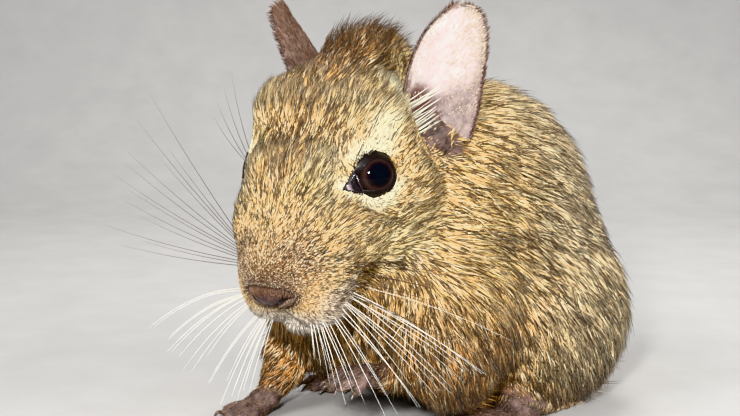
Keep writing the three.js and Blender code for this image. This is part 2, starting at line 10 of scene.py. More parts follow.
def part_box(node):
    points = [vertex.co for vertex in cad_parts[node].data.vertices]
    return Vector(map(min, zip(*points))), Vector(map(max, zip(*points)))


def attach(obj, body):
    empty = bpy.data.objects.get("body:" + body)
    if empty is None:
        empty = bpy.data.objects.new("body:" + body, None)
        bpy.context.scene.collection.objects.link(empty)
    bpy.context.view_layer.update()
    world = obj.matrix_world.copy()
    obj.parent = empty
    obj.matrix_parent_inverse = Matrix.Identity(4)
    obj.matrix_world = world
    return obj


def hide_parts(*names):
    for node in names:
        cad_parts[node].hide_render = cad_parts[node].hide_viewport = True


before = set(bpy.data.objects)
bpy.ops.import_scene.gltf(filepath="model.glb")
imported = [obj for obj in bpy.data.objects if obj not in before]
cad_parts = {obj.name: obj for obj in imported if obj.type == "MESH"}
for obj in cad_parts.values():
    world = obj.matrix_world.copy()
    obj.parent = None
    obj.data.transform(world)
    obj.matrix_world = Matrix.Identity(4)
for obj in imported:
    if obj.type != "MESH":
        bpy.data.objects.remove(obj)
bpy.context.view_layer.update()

MM = 0.001
BODY = "root"

# The head's own frame: x to its left, y to its back, z to its crown. Places are in millimetres
HEAD_YAW_DEG = 11
HEAD_PITCH_DEG = 22
HEAD_ROLL_DEG = 1.6
HEAD_IN_BODY = np.array([1.5, -32.0, 46.5])
EYE_PLACE = np.array([12.3, -6.2, 6.2])
RIGHT_EYE_INSET = 0.9
EYE_RADIUS = 4.5
EYE_OUTWARD = np.array([0.86, -0.42, 0.28])
CORNER_ANGLE = math.radians(31)
CORNER_REACH = 5.8
OPENING_RADIUS = 2.85
NOSE_TIP_Y = -27.5
NOSE_PLACE = np.array([0.0, NOSE_TIP_Y + 2.9, -7.8])
NOSE_RADII = np.array([5.3, 3.2, 2.6])
SNOUT_MIDDLE = [0, -25, -8]
# The whitish patch of the lips: its centre and its radii
LIP_PATCH = (3.5, -23, -14.5), (10, 9, 5.2)

# The ears, as in the part's source
EAR_HEIGHT = 30.2
EAR_HALF_WIDTH = 8.8
EAR_THICKNESS = 0.9
EAR_UP = np.array([0.2, 0.13, 0.97])
EAR_ROOTS = {1: (14.5, 12.9, -0.4), -1: (-12.8, 15, 0.4)}
EAR_OPENINGS = {1: (0.92, -0.36, 0.12), -1: (-0.905, -0.41, 0.12)}
EAR_HOLLOW = np.array([17.8, 11.8, 9.8])
EAR_HOLLOW_RADII = [7.6, 6.8, 9.6]

TAIL_POINTS = [
    (0, 32, 14),
    (-1, 43, 8.5),
    (-9, 52, 4.2),
    (-24, 53.5, 3.4),
    (-38, 45, 3.1),
    (-44, 30, 2.9),
    (-44, 13, 2.7),
    (-40.5, -3, 2.5),
]

# The camera, from the body's frame
CAMERA_IN_BODY = np.array([194.198, -204.857, 78.835])
CAMERA_AZIMUTH_DEG = 47
CAMERA_ELEVATION_DEG = 8
LENS_MM = 68.1
SENSOR_MM = 36

# The voxels that the skin is made from, and how far the solids grow to close their cuts
SKIN_VOXEL = 0.55
GAP_CLOSING = 0.26

SIDES = {"left": 1, "right": -1}


def srgb(*levels):
    """A colour from the usual 0 to 255 numbers, in the linear values that Blender takes."""
    share = np.array(levels) / 255
    return np.where(share <= 0.04045, share / 12.92, ((share + 0.055) / 1.055) ** 2.4)


# Colours
GOLD = srgb(228, 189, 124)
STRAW = srgb(238, 217, 158)
CREAM = srgb(250, 240, 202)
RUST = srgb(192, 136, 78)
SNOUT = srgb(122, 82, 50)
MAUVE = srgb(120, 94, 80)
OLIVE = srgb(226, 204, 164)
LIP_WHITE = srgb(232, 222, 212)
FOOT_BROWN = srgb(104, 88, 78)
HAIR_BASE = srgb(70, 54, 44)
HAIR_TIP = srgb(34, 28, 30)
# The share of the coat's colour that the hide under it keeps
UNDERCOAT = (0.34, 0.30, 0.28)


# Small tools


def unit(values):
    values = np.asarray(values, float)
    return values / np.maximum(np.linalg.norm(values, axis=-1, keepdims=True), 1e-9)


def smoothstep(low, high, value):
    share = np.clip((value - low) / (high - low), 0, 1)
    return share * share * (3 - 2 * share)


def turn(axis, degrees):
    return np.array(Matrix.Rotation(math.radians(degrees), 3, axis))


def wave_noise(points, size, seed):
    """A smooth repeatable noise from about -1 to 1, whose waves are about size across."""
    draw = np.random.default_rng(seed)
    total = np.zeros(len(points))
    WAVES = 9
    for _ in range(WAVES):
        direction = unit(draw.normal(size=3)) * draw.uniform(0.7, 1.5) * 2 * math.pi / size
        total += np.sin(points @ direction + draw.uniform(0, 2 * math.pi))
    return total / math.sqrt(WAVES / 2) / 2


def spot(points, centre, radii):
    """1 at the centre of an ellipsoid, fading to 0 at its edge."""
    reach = np.linalg.norm((points - np.array(centre)) / np.array(radii), axis=1)
    return 1 - smoothstep(0.35, 1.0, reach)


HEAD_TURN = turn("Z", HEAD_YAW_DEG) @ turn("X", HEAD_PITCH_DEG) @ turn("Y", -HEAD_ROLL_DEG)
# The view's own directions, for the whiskers, which follow the photo, and for the studio
VIEW_RIGHT, LEVEL_AWAY = turn("Z", CAMERA_AZIMUTH_DEG).T[:2]
VIEW_AWAY = turn("Z", CAMERA_AZIMUTH_DEG) @ turn("X", -CAMERA_ELEVATION_DEG)[:, 1]
VIEW_UP = np.cross(VIEW_RIGHT, VIEW_AWAY)


def node_middle(name):
    low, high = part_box(name)
    return np.array((low + high) / 2) / MM


# The row frame is the body's frame moved: the eyes tell by how much
EYES_MIDDLE = (node_middle("eye_left") + node_middle("eye_right")) / 2
HEAD_ORIGIN = EYES_MIDDLE - HEAD_TURN @ (EYE_PLACE * [0, 1, 1] + [RIGHT_EYE_INSET / 2, 0, 0])
BODY_SHIFT = HEAD_ORIGIN - HEAD_IN_BODY


def from_head(points):
    return np.asarray(points, float) @ HEAD_TURN.T + HEAD_ORIGIN


def to_head(points):
    return (np.asarray(points, float) - HEAD_ORIGIN) @ HEAD_TURN


def mirrored(values, sign):
    return np.asarray(values, float) * [sign, 1, 1]


def one_sided(head):
    """Points of the head's frame, those of its right half mirrored on to the left."""
    return np.abs(head) * [1, 0, 0] + head * [0, 1, 1]


def eye_place(sign):
    return mirrored(EYE_PLACE, sign) + [RIGHT_EYE_INSET if sign < 0 else 0, 0, 0]


def new_mesh(name, points, faces, smooth=True):
    """A mesh object from points in millimetres and triangles or quads."""
    mesh = bpy.data.meshes.new(name)
    faces = np.asarray(faces, np.int32)
    corners = faces.shape[1]
    mesh.vertices.add(len(points))
    mesh.vertices.foreach_set("co", (np.asarray(points) * MM).astype(np.float32).ravel())
    mesh.loops.add(faces.size)
    mesh.loops.foreach_set("vertex_index", faces.ravel())
    mesh.polygons.add(len(faces))
    mesh.polygons.foreach_set("loop_start", np.arange(0, faces.size, corners, dtype=np.int32))
    mesh.polygons.foreach_set("use_smooth", np.full(len(faces), smooth))
    mesh.update(calc_edges=True)
    thing = bpy.data.objects.new(name, mesh)
    bpy.context.scene.collection.objects.link(thing)
    return thing


def mesh_points(mesh):
    found = np.empty(len(mesh.vertices) * 3, np.float32)
    mesh.vertices.foreach_get("co", found)
    return found.reshape(-1, 3).astype(float) / MM


def set_number(mesh, name, values):
    layer = mesh.attributes.new(name, "FLOAT", "POINT")
    layer.data.foreach_set("value", np.asarray(values, np.float32))


def set_colour(mesh, name, values):
    layer = mesh.attributes.new(name, "FLOAT_COLOR", "POINT")
    full = np.ones((len(values), 4), np.float32)
    full[:, :3] = values
    layer.data.foreach_set("color", full.ravel())


def grid_faces(rows, columns, closed=False):
    """Quads of a grid of points, row after row, whose rows may close on themselves."""
    faces = []
    for row in range(rows - 1):
        this, other = row * columns, (row + 1) * columns
        for column in range(columns if closed else columns - 1):
            after = (column + 1) % columns
            faces.append((this + column, this + after, other + after, other + column))
    return faces


# Materials


class Nodes:
    """A short way to write a node tree."""

    def __init__(self, name):
        self.material = bpy.data.materials.new(name)
        self.material.use_nodes = True
        self.tree = self.material.node_tree
        self.shader = self.tree.nodes["Principled BSDF"]

    def add(self, kind, settings=(), **inputs):
        node = self.tree.nodes.new(kind)
        for key, value in dict(settings).items():
            setattr(node, key, value)
        for key, value in inputs.items():
            self.feed(node, key.replace("_", " "), value)
        return node

    def feed(self, node, socket, value):
        target = node.inputs[socket]
        if isinstance(value, bpy.types.NodeSocket):
            self.tree.links.new(value, target)
        else:
            target.default_value = value

    def stored(self, name, output="Fac"):
        """A number, or the Color, that the mesh stores under a name."""
        return self.add("ShaderNodeAttribute", {"attribute_name": name}).outputs[output]

    def maths(self, operation, first, second=0.5):
        node = self.add("ShaderNodeMath", {"operation": operation})
        self.feed(node, 0, first)
        self.feed(node, 1, second)
        return node.outputs[0]

    def ramp(self, value, stops):
        node = self.add("ShaderNodeValToRGB")
        band = node.color_ramp
        while len(band.elements) < len(stops):
            band.elements.new(0.5)
        for element, (place, colour) in zip(band.elements, stops):
            element.position = place
            element.color = (*colour, 1) if hasattr(colour, "__len__") else (colour, colour, colour, 1)
        self.feed(node, "Fac", value)
        return node.outputs["Color"]

    def mix(self, share, first, second, blend="MIX"):
        node = self.add("ShaderNodeMix", {"data_type": "RGBA", "blend_type": blend})
        self.feed(node, 0, share)
        self.feed(node, 6, first)
        self.feed(node, 7, second)
        return node.outputs[2]

    def two_tones(self, grain, dark, light):
        """A colour between two, given as 0 to 255 numbers, by a noise."""
        return self.ramp(grain, [(0.3, srgb(*dark)), (0.7, srgb(*light))])

    def shaded(self, colour, grain, least, most):
        """A colour made darker and lighter by a noise."""
        return self.mix(1.0, colour, self.ramp(grain, [(0.3, least), (0.7, most)]), "MULTIPLY")

    def texture(self, kind, output, **inputs):
        node = self.add(kind, **inputs)
        self.feed(node, "Vector", self.add("ShaderNodeTexCoord").outputs["Object"])
        return node.outputs[output]

    def noise(self, scale, detail=4.0, roughness=0.6):
        return self.texture("ShaderNodeTexNoise", "Fac", Scale=scale, Detail=detail, Roughness=roughness)

    def cells(self, scale):
        return self.texture("ShaderNodeTexVoronoi", "Distance", Scale=scale)

    def bump(self, height, strength, distance):
        node = self.add("ShaderNodeBump", Strength=strength, Distance=distance)
        self.feed(node, "Height", height)
        self.feed(self.shader, "Normal", node.outputs["Normal"])

    def set(self, **values):
        for key, value in values.items():
            self.feed(self.shader, key.replace("_", " "), value)
        return self.material


def opaque(colour):
    return (*[float(c) for c in colour], 1.0)


def coat_material():
    """Banded hair: a dark base, the marking's colour, and a dark tip on the hairs that have one."""
    nodes = Nodes("coat_hair")
    along = nodes.stored("along")
    base_share = nodes.ramp(along, [(0.0, 1.0), (0.16, 0.8), (0.4, 0.0)])
    tip_share = nodes.ramp(along, [(0.55, 0.0), (0.82, 1.0)])
    tinted = nodes.mix(base_share, nodes.stored("tint", "Color"), opaque(HAIR_BASE))
    dark = nodes.maths("MULTIPLY", tip_share, nodes.stored("dark_tip"))
    tipped = nodes.mix(dark, tinted, opaque(HAIR_TIP))
    return nodes.set(
        Base_Color=nodes.shaded(tipped, nodes.noise(900), 0.78, 1.12),
        Roughness=0.44,
        Specular_IOR_Level=0.42,
        Sheen_Weight=0.06,
        Sheen_Roughness=0.4,
    )


def skin_material():
    """The hide under the coat, with the coat's markings, and the bare skin of the feet."""
    nodes = Nodes("skin")
    grain = nodes.noise(2200)
    under = nodes.mix(1.0, nodes.stored("tint", "Color"), opaque(UNDERCOAT), "MULTIPLY")
    furred = nodes.shaded(under, grain, 0.7, 1.2)
    blotches = nodes.ramp(nodes.noise(420), [(0.35, 0.0), (0.65, 1.0)])
    bare_skin = nodes.mix(blotches, opaque(srgb(58, 48, 46)), opaque(srgb(110, 90, 84)))
    colour = nodes.mix(nodes.stored("bare"), furred, bare_skin)
    height = nodes.maths("ADD", nodes.cells(1500), grain)
    nodes.bump(height, 0.5, 0.0002)
    return nodes.set(Base_Color=colour, Roughness=0.62, Specular_IOR_Level=0.35)


def lid_material():
    """The nearly black rim of the lids."""
    nodes = Nodes("lid_skin")
    grain = nodes.noise(2600)
    colour = nodes.two_tones(grain, (9, 7, 7), (26, 19, 18))
    nodes.bump(grain, 0.4, 0.00012)
    return nodes.set(Base_Color=colour, Roughness=0.5, Specular_IOR_Level=0.25)


def wet_material():
    """The damp inner corner of the eye, pink only at its tip."""
    nodes = Nodes("wet_corner")
    grain = nodes.noise(1800)
    pink = nodes.two_tones(grain, (100, 84, 88), (164, 148, 152))
    brown = nodes.two_tones(grain, (12, 9, 10), (28, 20, 21))
    colour = nodes.mix(nodes.stored("corner"), brown, pink)
    nodes.bump(grain, 0.5, 0.00015)
    return nodes.set(Base_Color=colour, Roughness=0.25, Coat_Weight=0.3, Coat_Roughness=0.08)


def eye_material():
    """A near-black pupil, with a faint blue that is a painted reflection, in a dark brown iris whose fibres
    run out from it.
    """
    nodes = Nodes("eye_ball")
    fibres = nodes.maths("MULTIPLY", nodes.noise(1500, 6.0), 0.1)
    edge = nodes.maths("ADD", nodes.stored("reach"), fibres)
    # From the middle of the pupil to the edge of the iris; the pupil's faint blue is a painted reflection
    stops = [
        (0.0, srgb(9, 11, 16)),
        (0.34, srgb(8, 9, 13)),
        (0.44, srgb(20, 15, 16)),
        (0.56, srgb(48, 37, 34)),
        (0.68, srgb(32, 24, 23)),
        (0.8, srgb(14, 11, 11)),
    ]
    colour = nodes.ramp(edge, stops)
    return nodes.set(
        Base_Color=colour,
        Roughness=0.08,
        Specular_IOR_Level=0.04,
        Coat_Weight=0.3,
        Coat_Roughness=0.03,
        Coat_IOR=1.34,
    )


def nose_material():
    """Pebbled brown leather, with near-black painted shade in the nostrils."""
    nodes = Nodes("nose_pad")
    stops = [(0.28, srgb(30, 20, 18)), (0.5, srgb(54, 35, 32)), (0.74, srgb(90, 62, 57))]
    colour = nodes.ramp(nodes.noise(1400), stops)
    # Painted shade: the nostrils' pits are coloured near-black
    nostril_painted_shade = nodes.mix(nodes.stored("pit"), colour, opaque(srgb(20, 11, 12)))
    nodes.bump(nodes.cells(2600), 0.55, 0.00018)
    return nodes.set(
        Base_Color=nostril_painted_shade,
        Roughness=0.42,
        Specular_IOR_Level=0.5,
        Coat_Weight=0.18,
        Coat_Roughness=0.25,
    )


def ear_material():
    """Pale pink skin inside, darkened to mauve by painted shade in its deep lower part and towards its rear
    edge, and darker still by painted shade in the recess at its base; dark brown outside and along the rim.
    """
    nodes = Nodes("ear_skin")
    grain = nodes.noise(700, 6.0)
    veins = nodes.ramp(nodes.noise(170, 3.0, 0.5), [(0.36, 1.0), (0.5, 0.0), (0.64, 1.0)])
    pale = nodes.two_tones(grain, (220, 211, 207), (243, 239, 236))
    veined = nodes.mix(veins, opaque(srgb(218, 200, 197)), pale)
    # Painted shade: the inside darkens to mauve down in the cup and towards its rear edge, by the stored
    # depth value
    mauve = nodes.two_tones(grain, (106, 90, 87), (154, 138, 133))
    deep_painted_shade = nodes.mix(nodes.stored("depth"), veined, mauve)
    # Painted shade: a dark red-brown in the recess at the base of the ear, behind the bristles
    inside = nodes.mix(nodes.stored("recess_shade"), deep_painted_shade, opaque(srgb(84, 54, 50)))
    brown = nodes.two_tones(grain, (80, 64, 57), (136, 114, 102))
    colour = nodes.mix(nodes.stored("outside"), inside, brown)
    nodes.bump(grain, 0.35, 0.00025)
    return nodes.set(
        Base_Color=colour,
        Roughness=0.5,
        Specular_IOR_Level=0.35,
        Subsurface_Weight=0.08,
        Subsurface_Scale=0.0012,
        Subsurface_Radius=(1.0, 0.4, 0.3),
    )


def claw_material():
    nodes = Nodes("claw_horn")
    grain = nodes.noise(1200)
    colour = nodes.two_tones(grain, (46, 36, 32), (104, 86, 74))
    nodes.bump(grain, 0.25, 0.0001)
    return nodes.set(Base_Color=colour, Roughness=0.3, Specular_IOR_Level=0.5)


def hair_material(name, root_colour, tip_colour, roughness):
    nodes = Nodes(name)
    colour = nodes.mix(nodes.stored("along"), opaque(srgb(*root_colour)), opaque(srgb(*tip_colour)))
    shaded = nodes.shaded(colour, nodes.noise(600), 0.8, 1.15)
    return nodes.set(Base_Color=shaded, Roughness=roughness, Specular_IOR_Level=0.5)


def tail_skin_material():
    nodes = Nodes("tail_end_skin")
    grain = nodes.noise(900)
    nodes.bump(grain, 0.4, 0.0002)
    return nodes.set(Base_Color=nodes.two_tones(grain, (30, 24, 23), (64, 50, 46)), Roughness=0.6)


# The skin: the solids of flesh closed over their thin cuts, smoothed, and drawn in by the coat's depth

REGIONS = ["head", "neck", "chest", "shoulder", "rump", "thigh", "foreleg", "foot", "tail"]
FLESH = {
    "head": ["head"],
    "neck": ["neck"],
    "chest": ["chest"],
    "shoulder": ["shoulder_left", "shoulder_right"],
    "rump": ["rump"],
    "thigh": ["thigh_left", "thigh_right"],
    "foreleg": ["foreleg_left", "foreleg_right"],
    "foot": ["forepaw_left", "forepaw_right", "hindfoot_left", "hindfoot_right"],
    "tail": ["tail_1", "tail_2", "tail_3"],
}
# The crown's tuft has this much more depth
CROWN_EXTRA_DEPTH = 1.3
# The most tufts of six triangles that one piece of the coat may have
MOST_TUFTS = 32600
# Coat by region: depth of the coat, hair length, tuft width, lift in degrees, tufts per square mm
COAT = {
    "head": (0.9, 4.4, 0.155, 19, 24),
    "neck": (1.8, 6.2, 0.2, 18, 13),
    "chest": (1.9, 6.8, 0.22, 19, 7.6),
    "shoulder": (1.8, 6.4, 0.21, 17, 9),
    "rump": (2.0, 7.4, 0.23, 17, 6.6),
    "thigh": (1.9, 7.0, 0.23, 16, 7),
    "foreleg": (0.8, 3.2, 0.2, 17, 10),
    "foot": (0.08, 1.2, 0.13, 12, 3.6),
    "tail": (0.35, 2.2, 0.18, 16, 6),
}


def welded(name):
    """A node's points, outward normals and faces, with the points of its flat faces joined."""
    shape = bmesh.new()
    shape.from_mesh(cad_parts[name].data)
    bmesh.ops.remove_doubles(shape, verts=shape.verts, dist=2e-6)
    shape.normal_update()
    shape.verts.index_update()
    points = np.array([v.co for v in shape.verts]) / MM
    normals = np.array([v.normal for v in shape.verts])
    faces = [[v.index for v in f.verts] for f in shape.faces]
    shape.free()
    return points, normals, faces


def shifted(faces, count):
    """Faces whose points come after count others."""
    return [tuple(v + count for v in face) for face in faces]


def fleshy_solids():
    points, faces, regions = [], [], []
    count = 0
    for index, region in enumerate(REGIONS):
        for name in FLESH[region]:
            found, normals, node_faces = welded(name)
            points.append(found + normals * GAP_CLOSING)
            faces += shifted(node_faces, count)
            regions += [index] * len(node_faces)
            count += len(found)
    return np.vstack(points), faces, np.array(regions)


def remeshed(points, faces):
    thing = new_mesh("rough", points, [f[:3] for f in faces])
    modifier = thing.modifiers.new("voxels", "REMESH")
    modifier.mode = "VOXEL"
    modifier.voxel_size = SKIN_VOXEL * MM
    ready = thing.evaluated_get(bpy.context.evaluated_depsgraph_get())
    mesh = bpy.data.meshes.new_from_object(ready)
    found = mesh_points(mesh)
    corners = np.empty(len(mesh.loops), np.int32)
    mesh.loops.foreach_get("vertex_index", corners)
    quads = corners.reshape(-1, 4)
    bpy.data.objects.remove(thing)
    bpy.data.meshes.remove(mesh)
    return found, quads


def edges_of(quads):
    pairs = np.vstack([quads[:, [0, 1]], quads[:, [1, 2]], quads[:, [2, 3]], quads[:, [3, 0]]])
    pairs.sort(axis=1)
    return np.unique(pairs, axis=0)


def spread(values, edges, share, rounds):
    """Evens values out over a mesh: each point moves by share to the mean of its neighbours."""
    count = len(values)
    share = np.broadcast_to(np.asarray(share, float), (count,))[:, None]
    flat = values.reshape(count, -1).astype(float)
    degree = np.bincount(edges.ravel(), minlength=count)[:, None]
    for _ in range(rounds):
        total = np.empty_like(flat)
        for column in range(flat.shape[1]):
            sums = np.bincount(edges[:, 0], flat[edges[:, 1], column], minlength=count)
            sums += np.bincount(edges[:, 1], flat[edges[:, 0], column], minlength=count)
            total[:, column] = sums
        flat = flat + (total / np.maximum(degree, 1) - flat) * share
    return flat.reshape(values.shape)


def normals_of(points, quads):
    first = points[quads[:, 2]] - points[quads[:, 0]]
    second = points[quads[:, 3]] - points[quads[:, 1]]
    face = np.cross(first, second)
    total = np.zeros_like(points)
    for corner in range(4):
        for axis in range(3):
            total[:, axis] += np.bincount(quads[:, corner], face[:, axis], minlength=len(points))
    return unit(total)


class Skin:
    """The hide's points, faces, regions and the coat's values at each point."""

    def __init__(self):
        solid_points, solid_faces, face_regions = fleshy_solids()
        tree = BVHTree.FromPolygons([Vector(p) for p in solid_points], solid_faces)
        self.points, self.quads = remeshed(solid_points, solid_faces)
        self.edges = edges_of(self.quads)
        nearest = [tree.find_nearest(Vector(p))[2] for p in self.points]
        self.label = face_regions[np.array(nearest)]
        self.share = spread(np.eye(len(REGIONS))[self.label], self.edges, 0.6, 26)
        self.head = to_head(self.points)
        fine = self.share[:, REGIONS.index("foot")] + self.near_features() * self.region("head")
        self.points = spread(self.points, self.edges, np.clip(0.55 - 0.45 * fine, 0.06, 0.55), 14)
        self.normals = normals_of(self.points, self.quads)
        depth = self.blend(0) * self.face_fade()
        depth += self.region("head") * spot(self.head, (-1, 5, 23), (15, 15, 9)) * CROWN_EXTRA_DEPTH
        smooth_normals = unit(spread(self.normals, self.edges, 0.5, 4))
        self.points = self.points - smooth_normals * depth[:, None]
        self.points = spread(self.points, self.edges, 0.3 * (1 - np.clip(fine, 0, 1)), 3)
        self.points[:, 2] = np.maximum(self.points[:, 2], 0.02)
        self.normals = normals_of(self.points, self.quads)
        self.head = to_head(self.points)

    def region(self, name):
        return self.share[:, REGIONS.index(name)]

    def blend(self, column):
        values = np.array([COAT[region][column] for region in REGIONS], float)
        return self.share @ values

    def near_features(self):
        """Near 1 by the lids, the lips and the nose, where the skin keeps its fine forms."""
        sided = one_sided(self.head)
        eye = spot(sided, EYE_PLACE + EYE_OUTWARD * 3, (7, 7, 7))
        lips = spot(sided, (3, -22, -12.5), (9, 9, 6))
        return np.maximum(eye, lips)

    def face_fade(self):
        """The coat is thinnest on the nose and the lids and thickens towards the crown and cheeks."""
        sided = one_sided(self.head)
        from_nose = np.linalg.norm(sided - SNOUT_MIDDLE, axis=1)
        from_eye = np.linalg.norm(sided - (EYE_PLACE + EYE_OUTWARD * 3), axis=1)
        near = np.minimum(smoothstep(2, 22, from_nose), 0.25 + 0.75 * smoothstep(3.5, 9, from_eye))
        head = np.clip(self.region("head"), 0, 1)
        return 1 - head * (1 - np.clip(near, 0.18, 1))


def marking_colours(points):
    """The colour of the coat at points of the row frame, before the hairs vary."""
    head = to_head(points)
    sided = one_sided(head)
    body = points - BODY_SHIFT
    colour = np.tile(GOLD, (len(points), 1)) * 1.1

    def lay(tint, amount):
        share = np.clip(amount, 0, 1)[:, None]
        colour[:] = colour * (1 - share) + tint * share

    lay(OLIVE, 0.75 * smoothstep(-16, 8, body[:, 1]))
    lay(RUST, 0.8 * smoothstep(34, 18, body[:, 2]) * smoothstep(4, -20, body[:, 1]))
    lay(RUST, 0.55 * smoothstep(14, 4, body[:, 2]))
    lay(RUST, 0.75 * spot(sided, (0, 8, 24), (13, 15, 12)))
    lay(RUST, 0.25 * spot(sided, (0, -10, 13), (8, 16, 10)))
    lay(STRAW, 0.6 * spot(sided, (8, -12, 7), (6, 10, 9)))
    lay(STRAW, 0.5 * spot(sided, (10, 0, 13), (9, 10, 9)))
    lay(STRAW, 0.5 * spot(sided, (14, -8, -7), (9, 13, 9)))
    lay(SNOUT, 0.85 * spot(sided, (3, -23, -3), (11, 11, 7.5)))
    lay(MAUVE, 0.85 * spot(sided, (0, -26, -6), (8.5, 5.5, 4.6)))
    lay(LIP_WHITE, 0.95 * spot(sided, *LIP_PATCH))
    lay(CREAM, pale_patches(head))
    lay(srgb(92, 64, 50), 0.85 * spot(sided, (15.2, 9.2, 18.5), (3, 3.2, 6.5)))
    lay(LIP_WHITE, 0.55 * spot(sided, (9.5, -19.5, -10.5), (6, 8, 4)))
    lay(srgb(72, 56, 46), 0.85 * smoothstep(0.3, 0.9, tail_share(points)))
    # Dark partings in the fur of the cheeks and the neck: painted shade in these creases, over the fur's
    # dark base that shows in them; and dark-toned skin round the nose pad
    PARTING_SHADE = srgb(58, 50, 46)
    lay(PARTING_SHADE, 0.75 * spot(sided, (12.6, -8.5, -10.6), (3.4, 4.6, 1.5)))
    lay(PARTING_SHADE, 0.6 * spot(body, (23.1, -12.4, 37.2), (6, 5, 2)))
    lay(PARTING_SHADE, 0.6 * spot(sided, (10.5, -19, -3.4), (3, 3.2, 1.1)))
    from_pad = np.linalg.norm((head - NOSE_PLACE) / NOSE_RADII, axis=1)
    lay(srgb(92, 62, 54), 0.9 * smoothstep(1.4, 1.12, from_pad))
    return colour


def pale_patches(head):
    """How much a place is in the cream patches round the eyes and in front of the ears."""
    sided = one_sided(head)
    from_lids = eye_clearance(head)
    eye_off = sided - EYE_PLACE
    below = smoothstep(0.8, -2.0, eye_off @ unit([0.1, 0.35, 1]))
    above = smoothstep(1.8, 3.8, eye_off @ unit([0, 0.25, 1]))
    ring = smoothstep(4.2, 1.6, from_lids) * np.maximum(below, above)
    brow = 0.85 * spot(sided, (14.4, -2.6, 12.6), (4.2, 4.6, 4.4))
    by_ear = 0.85 * spot(sided, (14.0, 4.5, 18), (4.5, 5, 7))
    return np.maximum(np.maximum(ring, brow), by_ear)


def tail_curve(count):
    """Evenly spaced points of the tail's line, in the row frame, and the way it runs at each."""
    knots = np.array(TAIL_POINTS, float) + BODY_SHIFT
    padded = np.vstack([2 * knots[0] - knots[1], knots, 2 * knots[-1] - knots[-2]])
    found = []
    for index in range(len(knots) - 1):
        a, b, c, d = padded[index : index + 4]
        for t in np.linspace(0, 1, 40, endpoint=False):
            found.append(
                0.5 * (2 * b + (c - a) * t + (2 * a - 5 * b + 4 * c - d) * t * t
                       + (3 * b - a - 3 * c + d) * t ** 3)
            )
    found = np.array(found + [knots[-1]])
    lengths = np.concatenate([[0], np.cumsum(np.linalg.norm(np.diff(found, axis=0), axis=1))])
    wanted = np.linspace(0, lengths[-1], count)
    line = np.column_stack([np.interp(wanted, lengths, found[:, axis]) for axis in range(3)])
    return line, unit(np.gradient(line, axis=0))


TAIL_LINE, TAIL_WAY = tail_curve(120)


def nearest_on_tail(points):
    gaps = np.linalg.norm(points[:, None, :] - TAIL_LINE[None, :, :], axis=2)
    return gaps.argmin(axis=1), gaps.min(axis=1)


def tail_share(points):
    """1 near the tail's far two thirds, 0 on the body."""
    index, gap = nearest_on_tail(points)
    return smoothstep(12, 30, index) * smoothstep(8, 5, gap)


def flow_at(skin):
    """The way the hair lies at each point of the skin, along its surface."""
    points, head = skin.points, skin.head
    body = points - BODY_SHIFT
    side = np.sign(body[:, 0]) * smoothstep(2, 16, np.abs(body[:, 0]))
    from_nose = head - np.array([0, -25.5, -4.5])
    head_way = unit(from_nose + [0, 6, 0]) @ HEAD_TURN.T

    def lie(outward, back, up):
        return np.outer(side, [outward, 0, 0]) + [0, back, up]

    trunk_way = lie(0.25, 1.0, -0.62)
    low_front = (smoothstep(40, 24, body[:, 2]) * smoothstep(4, -16, body[:, 1]))[:, None]
    chest_way = trunk_way * (1 - low_front) + lie(0.12, 0.28, -1.0) * low_front
    ways = {
        "head": head_way,
        "neck": trunk_way * [1, 1, 0.8],
        "chest": chest_way,
        "shoulder": chest_way,
        "rump": trunk_way,
        "thigh": lie(0.1, 0.45, -1.0),
        "foreleg": np.array([[-0.2, -0.8, -0.45]]),
        "foot": np.array([[0.0, -1.0, -0.15]]),
        "tail": TAIL_WAY[nearest_on_tail(points)[0]],
    }
    total = np.zeros_like(points)
    for region, way in ways.items():
        total += unit(way) * skin.region(region)[:, None]
    total += around_eyes(skin) * skin.region("head")[:, None]
    total -= skin.normals * (total * skin.normals).sum(axis=1, keepdims=True)
    return unit(spread(unit(total), skin.edges, 0.5, 6))


def around_eyes(skin):
    """Turns the hair away from the eyeballs, so that it parts round them."""
    total = np.zeros_like(skin.points)
    for sign in SIDES.values():
        centre = eye_place(sign) + mirrored(EYE_OUTWARD * 3, sign)
        away = skin.head - centre
        reach = np.linalg.norm(away, axis=1)
        ahead = smoothstep(2, -4, away[:, 1])
        strength = smoothstep(11, 4, reach) * (0.4 + 0.9 * ahead)
        total += unit(away) @ HEAD_TURN.T * strength[:, None]
    return total


# Tufts


